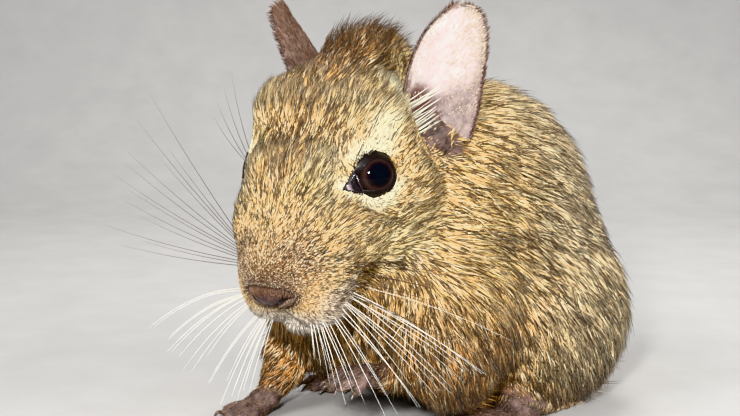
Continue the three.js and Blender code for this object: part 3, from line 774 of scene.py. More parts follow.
def tufts(name, roots, normals, ways, lengths, widths, lifts, tints, dark_tips, uvs, joints, seed,
          droop=0.55):
    """Closed pointed tufts as one mesh. joints is 1 for a short straight tuft or 2 for a bent one."""
    draw = np.random.default_rng(seed)
    count = len(roots)
    ways = unit(ways - normals * (ways * normals).sum(axis=1, keepdims=True))
    rise = np.sin(lifts)[:, None]
    run = np.cos(lifts)[:, None]
    length = lengths[:, None]

    def centre(share):
        height = rise * (share - droop * share * share)
        return roots + length * (ways * run * share + normals * height)

    shares = [0.42] if joints == 1 else [0.28, 0.64]
    girths = [1.0] if joints == 1 else [1.0, 0.78]
    across = unit(np.cross(ways, normals))
    roll = draw.uniform(-0.5, 0.5, count)[:, None]
    rows = [roots - normals * 0.15]
    for share, girth in zip(shares, girths):
        middle = centre(share)
        way = unit(centre(share + 0.05) - centre(share - 0.05))
        upward = unit(np.cross(across, way))
        upward *= np.sign((upward * normals).sum(axis=1, keepdims=True))
        side = across * np.cos(roll) + upward * np.sin(roll)
        ridge = upward * np.cos(roll) - across * np.sin(roll)
        half = widths[:, None] * 0.5 * girth
        rows += [middle + side * half, middle - side * half, middle + ridge * half * 0.75]
    rows.append(centre(1.0))
    points = np.stack(rows, axis=1)
    per = points.shape[1]
    points[:, :, 2] = np.maximum(points[:, :, 2], 0.03)

    faces = [(2, 1, 0), (3, 2, 0), (1, 3, 0)]
    last = 1
    for _ in range(joints - 1):
        a, b = last, last + 3
        for i in range(3):
            j = (i + 1) % 3
            faces += [(a + i, a + j, b + j), (a + i, b + j, b + i)]
        last = b
    tip = per - 1
    faces += [(last, last + 1, tip), (last + 1, last + 2, tip), (last + 2, last, tip)]
    faces = np.array(faces)
    all_faces = (np.arange(count)[:, None, None] * per + faces[None]).reshape(-1, 3)
    thing = new_mesh(name, points.reshape(-1, 3), all_faces)

    along_one = [0.0] + [s for s in shares for _ in range(3)] + [1.0]
    set_number(thing.data, "along", np.tile(along_one, count))
    set_number(thing.data, "dark_tip", np.repeat(dark_tips, per))
    set_colour(thing.data, "tint", np.repeat(tints, per, axis=0))
    PATCH = 0.003
    across_one = np.array([0.5] + [x for _ in shares for x in (1.0, 0.0, 0.5)] + [0.5]) - 0.5
    offsets = np.column_stack([across_one, np.array(along_one) - 0.5]) * PATCH
    point_uvs = (uvs[:, None, :] + offsets[None]).reshape(-1, 2)
    layer = thing.data.uv_layers.new(name="OFBake")
    layer.data.foreach_set("uv", point_uvs[all_faces.ravel()].astype(np.float32).ravel())
    return thing


class Roots:
    """Draws places on the skin for hair, with the skin's values there."""

    def __init__(self, skin, uv_corners):
        quads = skin.quads
        self.triangles = np.vstack([quads[:, [0, 1, 2]], quads[:, [0, 2, 3]]])
        self.uv = np.vstack([uv_corners[:, [0, 1, 2]], uv_corners[:, [0, 2, 3]]])
        a, b, c = (skin.points[self.triangles[:, i]] for i in range(3))
        self.areas = np.linalg.norm(np.cross(b - a, c - a), axis=1) / 2
        self.middles = (a + b + c) / 3

    def draw(self, density, seed):
        """Roots by a density for each triangle, in tufts per square mm."""
        draw = np.random.default_rng(seed)
        wanted = self.areas * density
        total = int(round(wanted.sum()))
        chosen = draw.choice(len(wanted), total, p=wanted / wanted.sum())
        first = np.sqrt(draw.uniform(size=total))
        second = draw.uniform(size=total)
        weights = np.column_stack([1 - first, first * (1 - second), first * second])
        return chosen, weights

    def value(self, values, chosen, weights):
        corners = values[self.triangles[chosen]]
        if corners.ndim == 2:
            return (corners * weights).sum(axis=1)
        return (corners * weights[:, :, None]).sum(axis=1)

    def uv_at(self, chosen, weights):
        return (self.uv[chosen] * weights[:, :, None]).sum(axis=1)


def hide_uv(thing):
    """An unwrap of the skin's own shape, for the bake."""
    bpy.ops.object.select_all(action="DESELECT")
    thing.select_set(True)
    bpy.context.view_layer.objects.active = thing
    thing.data.uv_layers.new(name="OFBake")
    bpy.ops.object.mode_set(mode="EDIT")
    bpy.ops.mesh.select_all(action="SELECT")
    bpy.ops.uv.smart_project(angle_limit=math.radians(66), island_margin=0.004)
    bpy.ops.object.mode_set(mode="OBJECT")
    thing.select_set(False)
    found = np.empty(len(thing.data.loops) * 2, np.float32)
    thing.data.uv_layers["OFBake"].data.foreach_get("uv", found)
    return found.reshape(-1, 4, 2).astype(float)


def keep(thing, material):
    thing.data.materials.append(material)
    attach(thing, BODY)
    return thing


def build_skin():
    skin = Skin()
    thing = new_mesh("skin", skin.points, skin.quads)
    set_colour(thing.data, "tint", marking_colours(skin.points))
    by_ear = np.clip(skin.region("head") + skin.region("neck"), 0, 1)
    hollow = (1 - smoothstep(0.85, 1.1, in_ear_hollow(skin.head))) * by_ear
    set_number(thing.data, "bare", np.clip(skin.region("foot") * 1.2 + hollow, 0, 1))
    corners = hide_uv(thing)
    keep(thing, skin_material())
    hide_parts(*[name for names in FLESH.values() for name in names])
    return skin, Roots(skin, corners)


def eye_clearance(points_head):
    """How far points of the head are beyond the edge of the lids, seen along the eye's axis."""
    nearest = np.full(len(points_head), 99.0)
    for sign in SIDES.values():
        outward, ahead, upward = eye_frame(sign)
        off = points_head - eye_place(sign)
        along, over, out = off @ ahead, off @ upward, off @ outward
        reach = np.hypot(along, over)
        edge = lid_opening(np.arctan2(over, along))
        nearest = np.where(out > -1.5, np.minimum(nearest, reach - edge), nearest)
    return nearest


def lay_coat(skin, roots):
    """All of the fur, region by region, in pieces under the limit on faces."""
    material = coat_material()
    values = flow_at(skin), skin.blend(1), skin.blend(2), np.radians(skin.blend(3))
    label = skin.label[roots.triangles[:, 0]]

    def on(*regions):
        return np.isin(label, [REGIONS.index(region) for region in regions])

    on_head = on("head")
    head = to_head(roots.middles)
    density = skin.blend(4)[roots.triangles].mean(axis=1)
    density[on_head & (eye_clearance(head) < 0.45)] = 0
    density *= 1 - 0.96 * on("head", "neck") * (1 - smoothstep(0.75, 1.1, in_ear_hollow(head)))
    density[on_head & (np.linalg.norm((head - NOSE_PLACE) / (NOSE_RADII + 0.35), axis=1) < 1)] = 0
    density[roots.middles[:, 2] < 0.4] = 0
    snout = smoothstep(22, 8, np.linalg.norm(head - SNOUT_MIDDLE, axis=1))
    density *= 1 + 1.3 * snout * on_head
    left = roots.middles[:, 0] > BODY_SHIFT[0]
    face_left = head[:, 0] > 0
    ahead = head[:, 1] < -14
    on_top = head[:, 2] > 9
    pieces = {
        "coat_snout_left": on_head & ahead & face_left,
        "coat_snout_right": on_head & ahead & ~face_left,
        "coat_crown_left": on_head & ~ahead & on_top & face_left,
        "coat_crown_right": on_head & ~ahead & on_top & ~face_left,
        "coat_cheek_left": on_head & ~ahead & ~on_top & face_left,
        "coat_cheek_right": on_head & ~ahead & ~on_top & ~face_left,
        "coat_neck": on("neck"),
        "coat_chest_left": on("chest") & left,
        "coat_chest_right": on("chest") & ~left,
        "coat_shoulders": on("shoulder", "foreleg"),
        "coat_rump_left": on("rump") & left,
        "coat_rump_right": on("rump") & ~left,
        "coat_thighs": on("thigh"),
        "coat_feet_and_tail": on("foot", "tail"),
    }
    for seed, (name, mask) in enumerate(pieces.items()):
        chosen, weights = roots.draw(np.where(mask, density, 0), 100 + seed)
        picks = chosen[:MOST_TUFTS], weights[:MOST_TUFTS]
        keep(coat_piece(skin, roots, name, picks, values, seed), material)


def in_ear_hollow(head):
    """Below 1 inside the hollow in front of the ear and just behind it, where the skin is bare."""
    sided = one_sided(head)
    behind = smoothstep(10, 13.5, sided[:, 1]) * smoothstep(15, 11, sided[:, 2])
    return np.linalg.norm((sided - EAR_HOLLOW) / EAR_HOLLOW_RADII, axis=1) - 0.32 * behind


def coat_piece(skin, roots, name, picks, values, seed):
    """The tufts of one piece, at the picked places, with the skin's values of lie, length and so on."""
    draw = np.random.default_rng(500 + seed)
    count = len(picks[0])
    flow, lengths, widths, lifts = (roots.value(value, *picks) for value in values)
    place = roots.value(skin.points, *picks)
    normal = unit(roots.value(skin.normals, *picks))
    way = unit(flow)
    head_share = roots.value(skin.region("head"), *picks)
    head = to_head(place)
    across = np.cross(way, normal)
    clump = wave_noise(place, 5.0, 11) * 0.30 + wave_noise(place, 2.2, 12) * 0.2
    wander = clump + draw.normal(0, 0.13, count)
    way = unit(way + across * wander[:, None])
    from_nose = np.linalg.norm(head - SNOUT_MIDDLE, axis=1)
    from_eye = eye_clearance(head)
    face = smoothstep(5, 25, from_nose) * 0.88 + 0.12
    face = np.minimum(face, 0.2 + 0.8 * smoothstep(0.2, 8, from_eye))
    crown = spot(head, (1, 14, 22), (14, 9, 9))
    near_hollow = head_share * (1 - smoothstep(1.05, 1.9, in_ear_hollow(head)))
    sizes = (1 - head_share * (1 - face) + head_share * crown * 0.35) * (1 - 0.7 * near_hollow)
    light = spot(one_sided(head), *LIP_PATCH)
    sizes = sizes + head_share * light * 0.42
    lengths = lengths * sizes * draw.uniform(0.72, 1.2, count)
    widths = widths * draw.uniform(0.75, 1.25, count)
    widths *= 1 - head_share * 0.4 * (1 - smoothstep(3, 20, from_nose))
    lifts = lifts * (1 + 0.45 * wave_noise(place, 6.0, 21) + draw.normal(0, 0.22, count))
    lifts = np.clip(lifts + head_share * (crown * 0.25 + light * 0.25), 0.08, 1.0)
    tints = marking_colours(place)
    dice = draw.uniform(size=count)
    patch = wave_noise(place, 7.0, 31)
    tints *= (1 + 0.22 * draw.normal(size=count).clip(-1.6, 1.6) + 0.12 * patch)[:, None]
    pale = (dice < 0.24)[:, None]
    tints = np.where(pale, tints * 0.4 + CREAM * 0.6, tints)
    patches = pale_patches(head)
    brown = (dice > 0.68 - 0.1 * head_share + 0.3 * patches)[:, None]
    tints = np.where(brown, tints * [0.27, 0.24, 0.24], tints)
    guard = (dice > 0.91 - 0.03 * head_share + 0.09 * patches) & (from_nose > 9)
    tints = np.where(guard[:, None], tints * 0.4, tints)
    lengths = np.where(guard, lengths * (1.2 + 0.5 * head_share * crown), lengths)
    lifts = np.where(guard, lifts + 0.1 + 0.3 * head_share * crown, lifts)
    foot = roots.value(skin.region("foot"), *picks)[:, None]
    tints = tints * (1 - 0.8 * foot) + FOOT_BROWN * 0.8 * foot * draw.uniform(0.5, 1.3, count)[:, None]
    dark_tips = np.clip(draw.uniform(-0.5, 1.1, count) + 0.3 * patch, 0, 0.95) * (1 - light) * (1 - patches)
    tints = np.clip(tints, 0.002, 0.95)
    uvs = roots.uv_at(*picks)
    return tufts(name, place, normal, way, lengths, widths, lifts, tints, dark_tips, uvs, 1, 900 + seed)


# Eyes


def eye_frame(sign):
    outward = unit(mirrored(EYE_OUTWARD, sign))
    ahead = np.array([0, -1, -0.42])
    ahead = unit(ahead - outward * (ahead @ outward))
    upward = np.cross(outward, ahead) * sign
    if upward[2] < 0:
        upward = -upward
    return outward, ahead, unit(upward)


def ball(rows, columns):
    """Unit directions of a ball, pole first, and its faces."""
    polar = np.repeat(np.linspace(0, math.pi, rows + 1), columns)
    angle = np.tile(2 * math.pi * np.arange(columns) / columns, rows + 1)
    points = [np.sin(polar) * np.cos(angle), np.sin(polar) * np.sin(angle), np.cos(polar)]
    return np.column_stack(points), grid_faces(rows + 1, columns, closed=True)


def add_eye(side, sign, material):
    outward, ahead, upward = eye_frame(sign)
    directions, faces = ball(48, 64)
    cornea = 1 + 0.035 * smoothstep(0.45, 1.0, directions[:, 2])
    local = directions * (EYE_RADIUS * cornea)[:, None]
    points = eye_place(sign) + local @ np.array([ahead, upward, outward])
    thing = new_mesh(f"eye_ball_{side}", from_head(points), faces)
    set_number(thing.data, "reach", np.arccos(np.clip(directions[:, 2], -1, 1)) / (math.pi / 2) * 1.3)
    keep(thing, material)
    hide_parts(f"eye_{side}")


def lid_opening(angle):
    """How far the lids' edge is from the eye's axis, by the angle from straight ahead."""
    off = (angle - CORNER_ANGLE + math.pi) % (2 * math.pi) - math.pi
    # A circle, and the two straight edges that run from it to the corner
    tangent = math.acos(OPENING_RADIUS / CORNER_REACH)
    edge = OPENING_RADIUS / np.cos(np.clip(tangent - np.abs(off), 0, 1.4))
    return np.where(np.abs(off) < tangent, edge, OPENING_RADIUS)


def add_lids(side, sign, surface, material, wet):
    """The rim of both lids: a soft fold from the eyeball out under the coat."""
    outward, ahead, upward = eye_frame(sign)
    centre = eye_place(sign)
    COLUMNS = 120
    # How far outside the lids' edge, and how high over the eyeball or the skin
    PROFILE = [(-0.3, -0.5), (-0.04, 0.06), (0.14, 0.24), (0.4, 0.34), (0.8, 0.32), (1.2, 0.12), (1.8, -0.6)]
    points = []
    for out, height in PROFILE:
        for column in range(COLUMNS):
            angle = 2 * math.pi * column / COLUMNS
            upper = 0.5 + 0.5 * math.sin(angle - 0.5)
            reach = float(lid_opening(angle)) + out * (0.75 + 0.5 * upper)
            flat = (ahead * math.cos(angle) + upward * math.sin(angle)) * reach
            lift = surface_lift(centre, flat, outward, surface) + height * (0.8 + 0.5 * upper)
            points.append(centre + flat + outward * lift)
    faces = grid_faces(len(PROFILE), COLUMNS, closed=True)
    thing = new_mesh(f"lids_{side}", from_head(np.array(points)), faces)
    keep(thing, material)
    add_wet_corner(side, sign, surface, wet)


def surface_lift(centre, flat, outward, surface):
    """Height of the eyeball or the skin, whichever is higher, over a point of the eye's plane."""
    reach = np.linalg.norm(flat)
    ball_lift = math.sqrt(max(0.0, (EYE_RADIUS + 0.06) ** 2 - reach ** 2)) if reach < 4.4 else -5
    FAR = 12
    start = from_head(centre + flat + outward * FAR)
    hit = surface.ray_cast(Vector(start), Vector(-(HEAD_TURN @ outward)), FAR + 4)
    skin_lift = FAR - hit[3] if hit[0] is not None else ball_lift
    SOFTNESS = 0.35
    return SOFTNESS * np.logaddexp(ball_lift / SOFTNESS, skin_lift / SOFTNESS)


def add_wet_corner(side, sign, surface, wet):
    """A thin folded sheet that fills the opening between the eyeball and the lids' corner."""
    outward, ahead, upward = eye_frame(sign)
    centre = eye_place(sign)
    along = ahead * math.cos(CORNER_ANGLE) + upward * math.sin(CORNER_ANGLE)
    over = upward * math.cos(CORNER_ANGLE) - ahead * math.sin(CORNER_ANGLE)
    ROWS, COLUMNS = 26, 15
    points, corner = [], []
    for row in range(ROWS):
        share = row / (ROWS - 1)
        far = 3.0 + (CORNER_REACH - 2.8) * share
        half = OPENING_RADIUS * max(0.04, (CORNER_REACH + 0.2 - far) / (CORNER_REACH - 2.0)) + 0.25
        sunk = 0.5 * (1 - smoothstep(0, 0.25, share))
        for column in range(COLUMNS):
            side_share = column / (COLUMNS - 1) * 2 - 1
            flat = along * far + over * half * side_share
            fold = 0.16 * math.sin(9 * share) * (1 - side_share ** 2)
            fold += 0.1 * math.sin(14 * side_share + 6 * share)
            lift = surface_lift(centre, flat, outward, surface) + 0.12 - sunk
            lift += 0.2 * side_share ** 2 + fold * share
            points.append(centre + flat + outward * lift)
            corner.append(smoothstep(0.66, 0.98, share))
    thing = new_mesh(f"wet_corner_{side}", from_head(np.array(points)), grid_faces(ROWS, COLUMNS))
    set_number(thing.data, "corner", corner)
    modifier = thing.modifiers.new("body", "SOLIDIFY")
    modifier.thickness = 0.25 * MM
    modifier.offset = 0
    keep(thing, wet)


# Nose, ears, claws


def add_nose():
    """The bare pad, with its nostrils and the groove between them sunk in."""
    directions, faces = ball(64, 96)
    local = directions[:, [0, 2, 1]] * [1, -1, 1]
    points = NOSE_PLACE + local * (NOSE_RADII + 0.12)
    pit = np.zeros(len(points))
    # The line of the left nostril, as seen from the front
    flat = np.array([(0.9, -9.7), (2.1, -9.1), (3.3, -8.2), (4.3, -7.2)])
    off = (flat - NOSE_PLACE[[0, 2]]) / NOSE_RADII[[0, 2]]
    front = NOSE_PLACE[1] - NOSE_RADII[1] * np.sqrt(np.maximum(0.05, 1 - (off ** 2).sum(axis=1)))
    for sign in SIDES.values():
        path = np.column_stack([flat[:, 0] * sign, front, flat[:, 1]])
        dense = np.vstack([np.linspace(path[i], path[i + 1], 8) for i in range(3)])
        gap = np.linalg.norm(points[:, None] - dense[None], axis=2).min(axis=1)
        pit = np.maximum(pit, 1 - smoothstep(0.3, 0.8, gap))
    groove = (1 - smoothstep(0.1, 0.4, np.abs(points[:, 0]))) * smoothstep(-8.4, -9.6, points[:, 2])
    points = points - unit(local) * (pit * 0.85 + groove * 0.35)[:, None]
    thing = new_mesh("nose_pad", from_head(points), faces)
    # The pit value also colours the nostrils near-black in the material: painted shade
    set_number(thing.data, "pit", pit)
    keep(thing, nose_material())
    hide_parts("nose")


def add_nose_hair(material):
    """Very short hair that grows over the nose pad and leaves its V and the nostrils bare."""
    draw = np.random.default_rng(35)
    directions = unit(draw.normal(size=(9000, 3)))
    local = directions * (NOSE_RADII + 0.1)
    across, height = np.abs(local[:, 0]), local[:, 2]
    bare_top = 0.75 - 0.14 * across
    bare_low = -2.7 + 0.68 * across
    furred = (height > bare_top + draw.normal(0, 0.25, len(height))) | (height < bare_low)
    chosen = furred & (directions[:, 1] < 0.35)
    place = NOSE_PLACE + local[chosen]
    normal = unit(directions[chosen] / NOSE_RADII)
    upper = (local[chosen][:, 2] > 0)[:, None]
    way = np.where(upper, [0.0, 0.5, 1.0], [0.0, 0.3, -1.0]) + place * [0.09, 0, 0]
    count = len(place)
    shade = draw.uniform(0.35, 1.5, count)[:, None]
    tint = np.where(upper, srgb(112, 84, 66), srgb(134, 110, 92)) * shade
    uv = np.column_stack([0.5 + place[:, 0] / 14, 0.5 + (place[:, 2] + 8) / 14])
    thing = tufts("nose_hair", from_head(place), normal @ HEAD_TURN.T, way @ HEAD_TURN.T,
                  draw.uniform(0.5, 1.0, count), draw.uniform(0.09, 0.15, count),
                  draw.uniform(0.3, 0.8, count), np.clip(tint, 0.002, 0.9), np.zeros(count), uv, 1, 36)
    keep(thing, material)


def ear_spread(v):
    root = 0.66 + 0.34 * math.sin(min(1.0, v / 0.34) * math.pi / 2)
    tip = math.sqrt(max(0.0, 1 - max(0.0, (v - 0.5) / 0.5) ** 2.3))
    return root * max(0.06, tip)


def ear_axes(sign):
    upward = unit(mirrored(EAR_UP, sign))
    opening = np.array(EAR_OPENINGS[sign])
    opening = unit(opening - upward * (opening @ upward))
    rearward = np.cross(upward, opening) * sign
    if rearward[1] < 0:
        rearward = -rearward
    return upward, opening, rearward


def ear_point(sign, u, v, skin):
    """A point of the ear's cup: u across, v from root to tip, skin 0 inside and 1 outside."""
    upward, opening, rearward = ear_axes(sign)
    width = EAR_HALF_WIDTH * ear_spread(v)
    depth = (6.5 + (1.2 - 6.5) * min(1, v * 1.15)) * (1 - u * u)
    lean = 2.2 * v * v
    thickness = EAR_THICKNESS * (1 - 0.4 * v) * (0.45 + 0.55 * (1 - u ** 4))
    # Two folds and a ripple of the inner sheet
    relief = 0.9 * math.exp(-(((u + 0.05 - 0.5 * v) / 0.12) ** 2)) * smoothstep(0.55, 0.1, v)
    relief += 0.6 * math.exp(-(((u - 0.42) / 0.1) ** 2)) * smoothstep(0.45, 0.1, v)
    relief += 0.16 * math.sin(9 * u + 5 * v) * smoothstep(0.9, 0.4, v)
    return (
        np.array(EAR_ROOTS[sign])
        + upward * (v * EAR_HEIGHT - 1.5 * (1 - v) * u)
        + rearward * (u * width + lean * 0.6 - 1.4 * (1 - v))
        + opening * (lean - depth - skin * thickness + relief * (1 - skin))
    )


def add_ear(side, sign, material):
    """The cup of an ear, with how much of its dark outer skin each point has, and how much painted shade
    each point takes in the deep lower part and in the recess at its base.
    """
    ROWS, COLUMNS = 56, 44
    points, outside, depth, recess_shade = [], [], [], []
    for skin in (0, 1):
        for row in range(ROWS):
            v = row / (ROWS - 1)
            for column in range(COLUMNS):
                u = column / (COLUMNS - 1) * 2 - 1
                points.append(ear_point(sign, u, v, skin))
                rim = max(smoothstep(0.9, 1.0, abs(u)), smoothstep(0.95, 1.0, v))
                front_edge = smoothstep(0.7, 0.85, -u) * smoothstep(0.72, 0.5, v) * smoothstep(0.3, 0.45, v)
                outside.append(float(max(skin, rim, front_edge)))
                wavy = v + 0.04 * math.sin(5 * u + 1)
                # Painted shade in the deep lower part of the cup and towards its rear edge
                depth.append(float(smoothstep(0.54, 0.36, wavy) + smoothstep(0.72, 0.95, u)) * 0.95)
                # Painted shade in the recess low at the front of the cup
                recess_shade.append(float(smoothstep(0.56, 0.38, wavy) * smoothstep(0.4, -0.15, u)))
    sheet = ROWS * COLUMNS
    front = grid_faces(ROWS, COLUMNS)
    back = [face[::-1] for face in shifted(front, sheet)]
    grid = np.arange(sheet).reshape(ROWS, COLUMNS)
    edge = [*grid[:, 0], *grid[-1, 1:], *grid[-2::-1, -1], *grid[0, -2:0:-1]]
    sides = [(a, b, b + sheet, a + sheet) for a, b in zip(edge, edge[1:] + edge[:1])]
    thing = new_mesh(f"ear_cup_{side}", from_head(np.array(points)), front + back + sides)
    set_number(thing.data, "outside", outside)
    set_number(thing.data, "depth", np.clip(depth, 0, 1))
    set_number(thing.data, "recess_shade", recess_shade)
    keep(thing, material)
    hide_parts(f"ear_{side}")


def add_claws():
    """The claws of the solids, rounded and a little fuller."""
    names = [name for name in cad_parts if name.startswith("claw_")]
    points, faces, count = [], [], 0
    for name in names:
        found, normals, node_faces = welded(name)
        points.append(found + normals * 0.12)
        faces += shifted(node_faces, count)
        count += len(found)
    thing = new_mesh("claws", np.vstack(points), faces)
    modifier = thing.modifiers.new("round", "SUBSURF")
    modifier.levels = modifier.render_levels = 2
    ready = thing.evaluated_get(bpy.context.evaluated_depsgraph_get())
    rounded = bpy.data.meshes.new_from_object(ready)
    thing.modifiers.clear()
    thing.data = rounded
    keep(thing, claw_material())
    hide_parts(*names)


# Loose hairs: whiskers, ear hairs and the tail's brush


def hair_tubes(name, lines, radii, sides=5):
    """Tapered round hairs along lines of points, as one mesh."""
    points, faces, along, count = [], [], [], 0
    angle = 2 * math.pi * np.arange(sides)[:, None] / sides
    for line, radius in zip(lines, radii):
        steps = len(line)
        ways = unit(np.gradient(line, axis=0))
        across = unit(np.cross(ways, [0.13, 0.21, 0.97]))
        over = np.cross(across, ways)
        share = np.linspace(0, 1, steps)
        thick = radius * (1 - 0.85 * share ** 1.3)
        ring = across[:, None] * np.cos(angle) + over[:, None] * np.sin(angle)
        points.append((line[:, None] + ring * thick[:, None, None]).reshape(-1, 3))
        along.append(np.repeat(share, sides))
        faces += shifted(grid_faces(steps, sides, closed=True), count)
        count += steps * sides
    thing = new_mesh(name, np.vstack(points), faces)
    set_number(thing.data, "along", np.concatenate(along))
    return thing


def bow(start, way, sag, steps=16):
    """Points of a hair that leaves start, runs along way and bends by sag."""
    shares = np.linspace(0, 1, steps)[:, None]
    return start + way * shares + sag * shares ** 2


def whisker_root(surface, place):
    """A place on the snout's skin near a point of the head's frame, a little way in."""
    found, normal, _, _ = surface.find_nearest(Vector(from_head(place)))
    return np.array(found) - np.array(normal) * 0.5


def add_whiskers(surface):
    draw = np.random.default_rng(77)
    pale, dark = [], []

    def grow(group, place, length, degrees, away, sag, radius):
        """A hair whose direction and sag are given in the view: an angle, and a share away from it."""
        angle = math.radians(degrees)
        flat = VIEW_RIGHT * math.cos(angle) + VIEW_UP * math.sin(angle)
        bend = VIEW_UP * sag[0] + VIEW_AWAY * sag[1]
        start = whisker_root(surface, place)
        group.append((bow(start, (flat + VIEW_AWAY * away) * length, bend * length), radius))

    # Near side, white: down under the lip, then out to the right over the breast
    for index in range(26):
        share = (index + draw.uniform(-0.4, 0.4)) / 25
        place = (5.6 + 3.8 * share, -24.5 + 7.5 * share, -13.2 + 3.0 * share + draw.uniform(-0.9, 0.9))
        length = 7 + 20 * share + draw.uniform(-2, 3)
        degrees = -82 + 66 * share + draw.uniform(-5, 5)
        grow(pale, place, length, degrees, -0.22 + 0.16 * share, (-0.16, 0.05), draw.uniform(0.045, 0.08))
    # Near side, dark: longer, nearly level
    for index in range(11):
        share = index / 10
        place = (9.0, -21.0 + 5 * share, -8.5 + 4.5 * share + draw.uniform(-0.6, 0.6))
        length = draw.uniform(22, 40)
        degrees = -22 + 24 * share + draw.uniform(-4, 4)
        grow(dark, place, length, degrees, 0.05, (-0.09, 0.16), 0.07)
    # Far side, white: out to the left and drooping
    for index in range(20):
        share = (index + draw.uniform(-0.4, 0.4)) / 19
        place = (-7.6 + 5.0 * share, -21.5 - 2.5 * share, -9.4 - 4.2 * share)
        length = 17 + draw.uniform(-2, 4) - 7 * share
        degrees = 176 + 74 * share + draw.uniform(-4, 4)
        grow(pale, place, length, degrees, 0.4, (-0.42, 0), draw.uniform(0.06, 0.1))
    # Far side, dark: a fan up and out to the left
    for index in range(13):
        share = index / 12
        place = (-8.4, -19.5 + 3 * share, -6.5 + 5 * share)
        length = draw.uniform(21, 32)
        degrees = 178 - 48 * share + draw.uniform(-3, 3)
        grow(dark, place, length, degrees, 0.62, (0.08, 0), 0.065)
    # Long hairs over the eyes
    for sign in SIDES.values():
        for index in range(4):
            place = mirrored((12.4, -10.5 + index * 0.9, 9.6), sign)
            root = whisker_root(surface, place)
            way = (mirrored((5.5, -1.0 + index * 2, 8.5 + index), sign) @ HEAD_TURN.T) * 1.1
            dark.append((bow(root, way, HEAD_TURN @ mirrored((2, 4, -1), sign)), 0.06))
    white = hair_material("whisker_white", (206, 198, 184), (236, 238, 232), 0.25)
    brown = hair_material("whisker_dark", (44, 32, 28), (92, 70, 56), 0.3)
    keep(hair_tubes("whiskers_white", *zip(*pale)), white)
    keep(hair_tubes("whiskers_dark", *zip(*dark)), brown)


def ear_normal(sign, u, v, skin):
    """Outward direction of the ear's sheet at a point, in the head's frame."""
    STEP = 0.02
    along_u = ear_point(sign, u + STEP, v, skin) - ear_point(sign, u - STEP, v, skin)
    along_v = ear_point(sign, u, v + STEP, skin) - ear_point(sign, u, v - STEP, skin)
    _, opening, _ = ear_axes(sign)
    normal = unit(np.cross(along_u, along_v))
    facing = 1 if skin == 0 else -1
    return normal * (np.sign(normal @ opening) or 1) * facing


def add_ear_hair(side, sign, material):
    """Short hair on the back and the rim, and fine pale hair inside, thickest at the edges."""
    draw = np.random.default_rng(60 + sign)
    upward, _, rearward = ear_axes(sign)
    place, normal, way, length, width, tint, uv = [], [], [], [], [], [], []
    for _ in range(5200):
        v = draw.uniform(0.03, 0.985)
        kind = draw.uniform()
        if kind < 0.5:
            u, skin = draw.uniform(-0.97, 0.97), 1
            size, colour = draw.uniform(1.2, 2.2), srgb(92, 66, 50) * draw.uniform(0.5, 1.5)
            run = upward + rearward * 0.25 * u
        elif kind < 0.74:
            u, skin = draw.choice([-1, 1]) * draw.uniform(0.93, 0.99), draw.integers(0, 2)
            size, colour = draw.uniform(0.9, 1.7), srgb(84, 60, 50) * draw.uniform(0.5, 1.6)
            run = upward * 0.9 + rearward * 0.8 * np.sign(u)
        else:
            edge = draw.uniform() ** 0.45
            u, skin = edge * draw.choice([-0.92, 0.92, 0.92]), 0
            v = 1 - (1 - v) * draw.uniform(0.35, 1)
            size = draw.uniform(0.8, 1.6)
            colour = srgb(214, 196, 176) * draw.uniform(0.6, 1.1)
            run = upward * 0.8 + rearward * 0.9 * np.sign(u) * edge
        place.append(ear_point(sign, u, v, skin))
        normal.append(ear_normal(sign, u, v, skin))
        way.append(run)
        length.append(size)
        width.append(draw.uniform(0.10, 0.18))
        tint.append(colour)
        uv.append((0.25 + 0.22 * u + 0.5 * skin, 0.02 + 0.96 * v))
    count = len(place)
    turned = np.array(normal) @ HEAD_TURN.T
    thing = tufts(f"ear_hair_{side}", from_head(np.array(place)), turned, np.array(way) @ HEAD_TURN.T,
                  np.array(length), np.array(width), draw.uniform(0.15, 0.45, count), np.array(tint),
                  np.zeros(count), np.array(uv), 1, 70 + sign)
    keep(thing, material)


def add_ear_bristles(side, sign):
    """Long pale bristles that cross the ear's opening from its front edge."""
    draw = np.random.default_rng(80 + sign)
    upward, opening, rearward = ear_axes(sign)
    lines, radii = [], []
    for _ in range(30):
        v = 0.14 + 0.27 * draw.uniform()
        start = ear_point(sign, -0.97, v, 0) + opening * draw.uniform(0.3, 1.6) - rearward * 1.2
        length = draw.uniform(6.0, 9.0)
        way = unit(rearward * 0.86 + upward * draw.uniform(0.36, 0.56) + opening * draw.uniform(0.1, 0.3))
        sag = (rearward * 0.06 - opening * 0.05) * length
        lines.append(from_head(bow(start, way * length, sag, 8)))
        radii.append(draw.uniform(0.09, 0.15))
    thing = hair_tubes(f"ear_bristles_{side}", lines, radii)
    keep(thing, hair_material(f"bristle_{side}", (150, 138, 112), (236, 240, 222), 0.3))


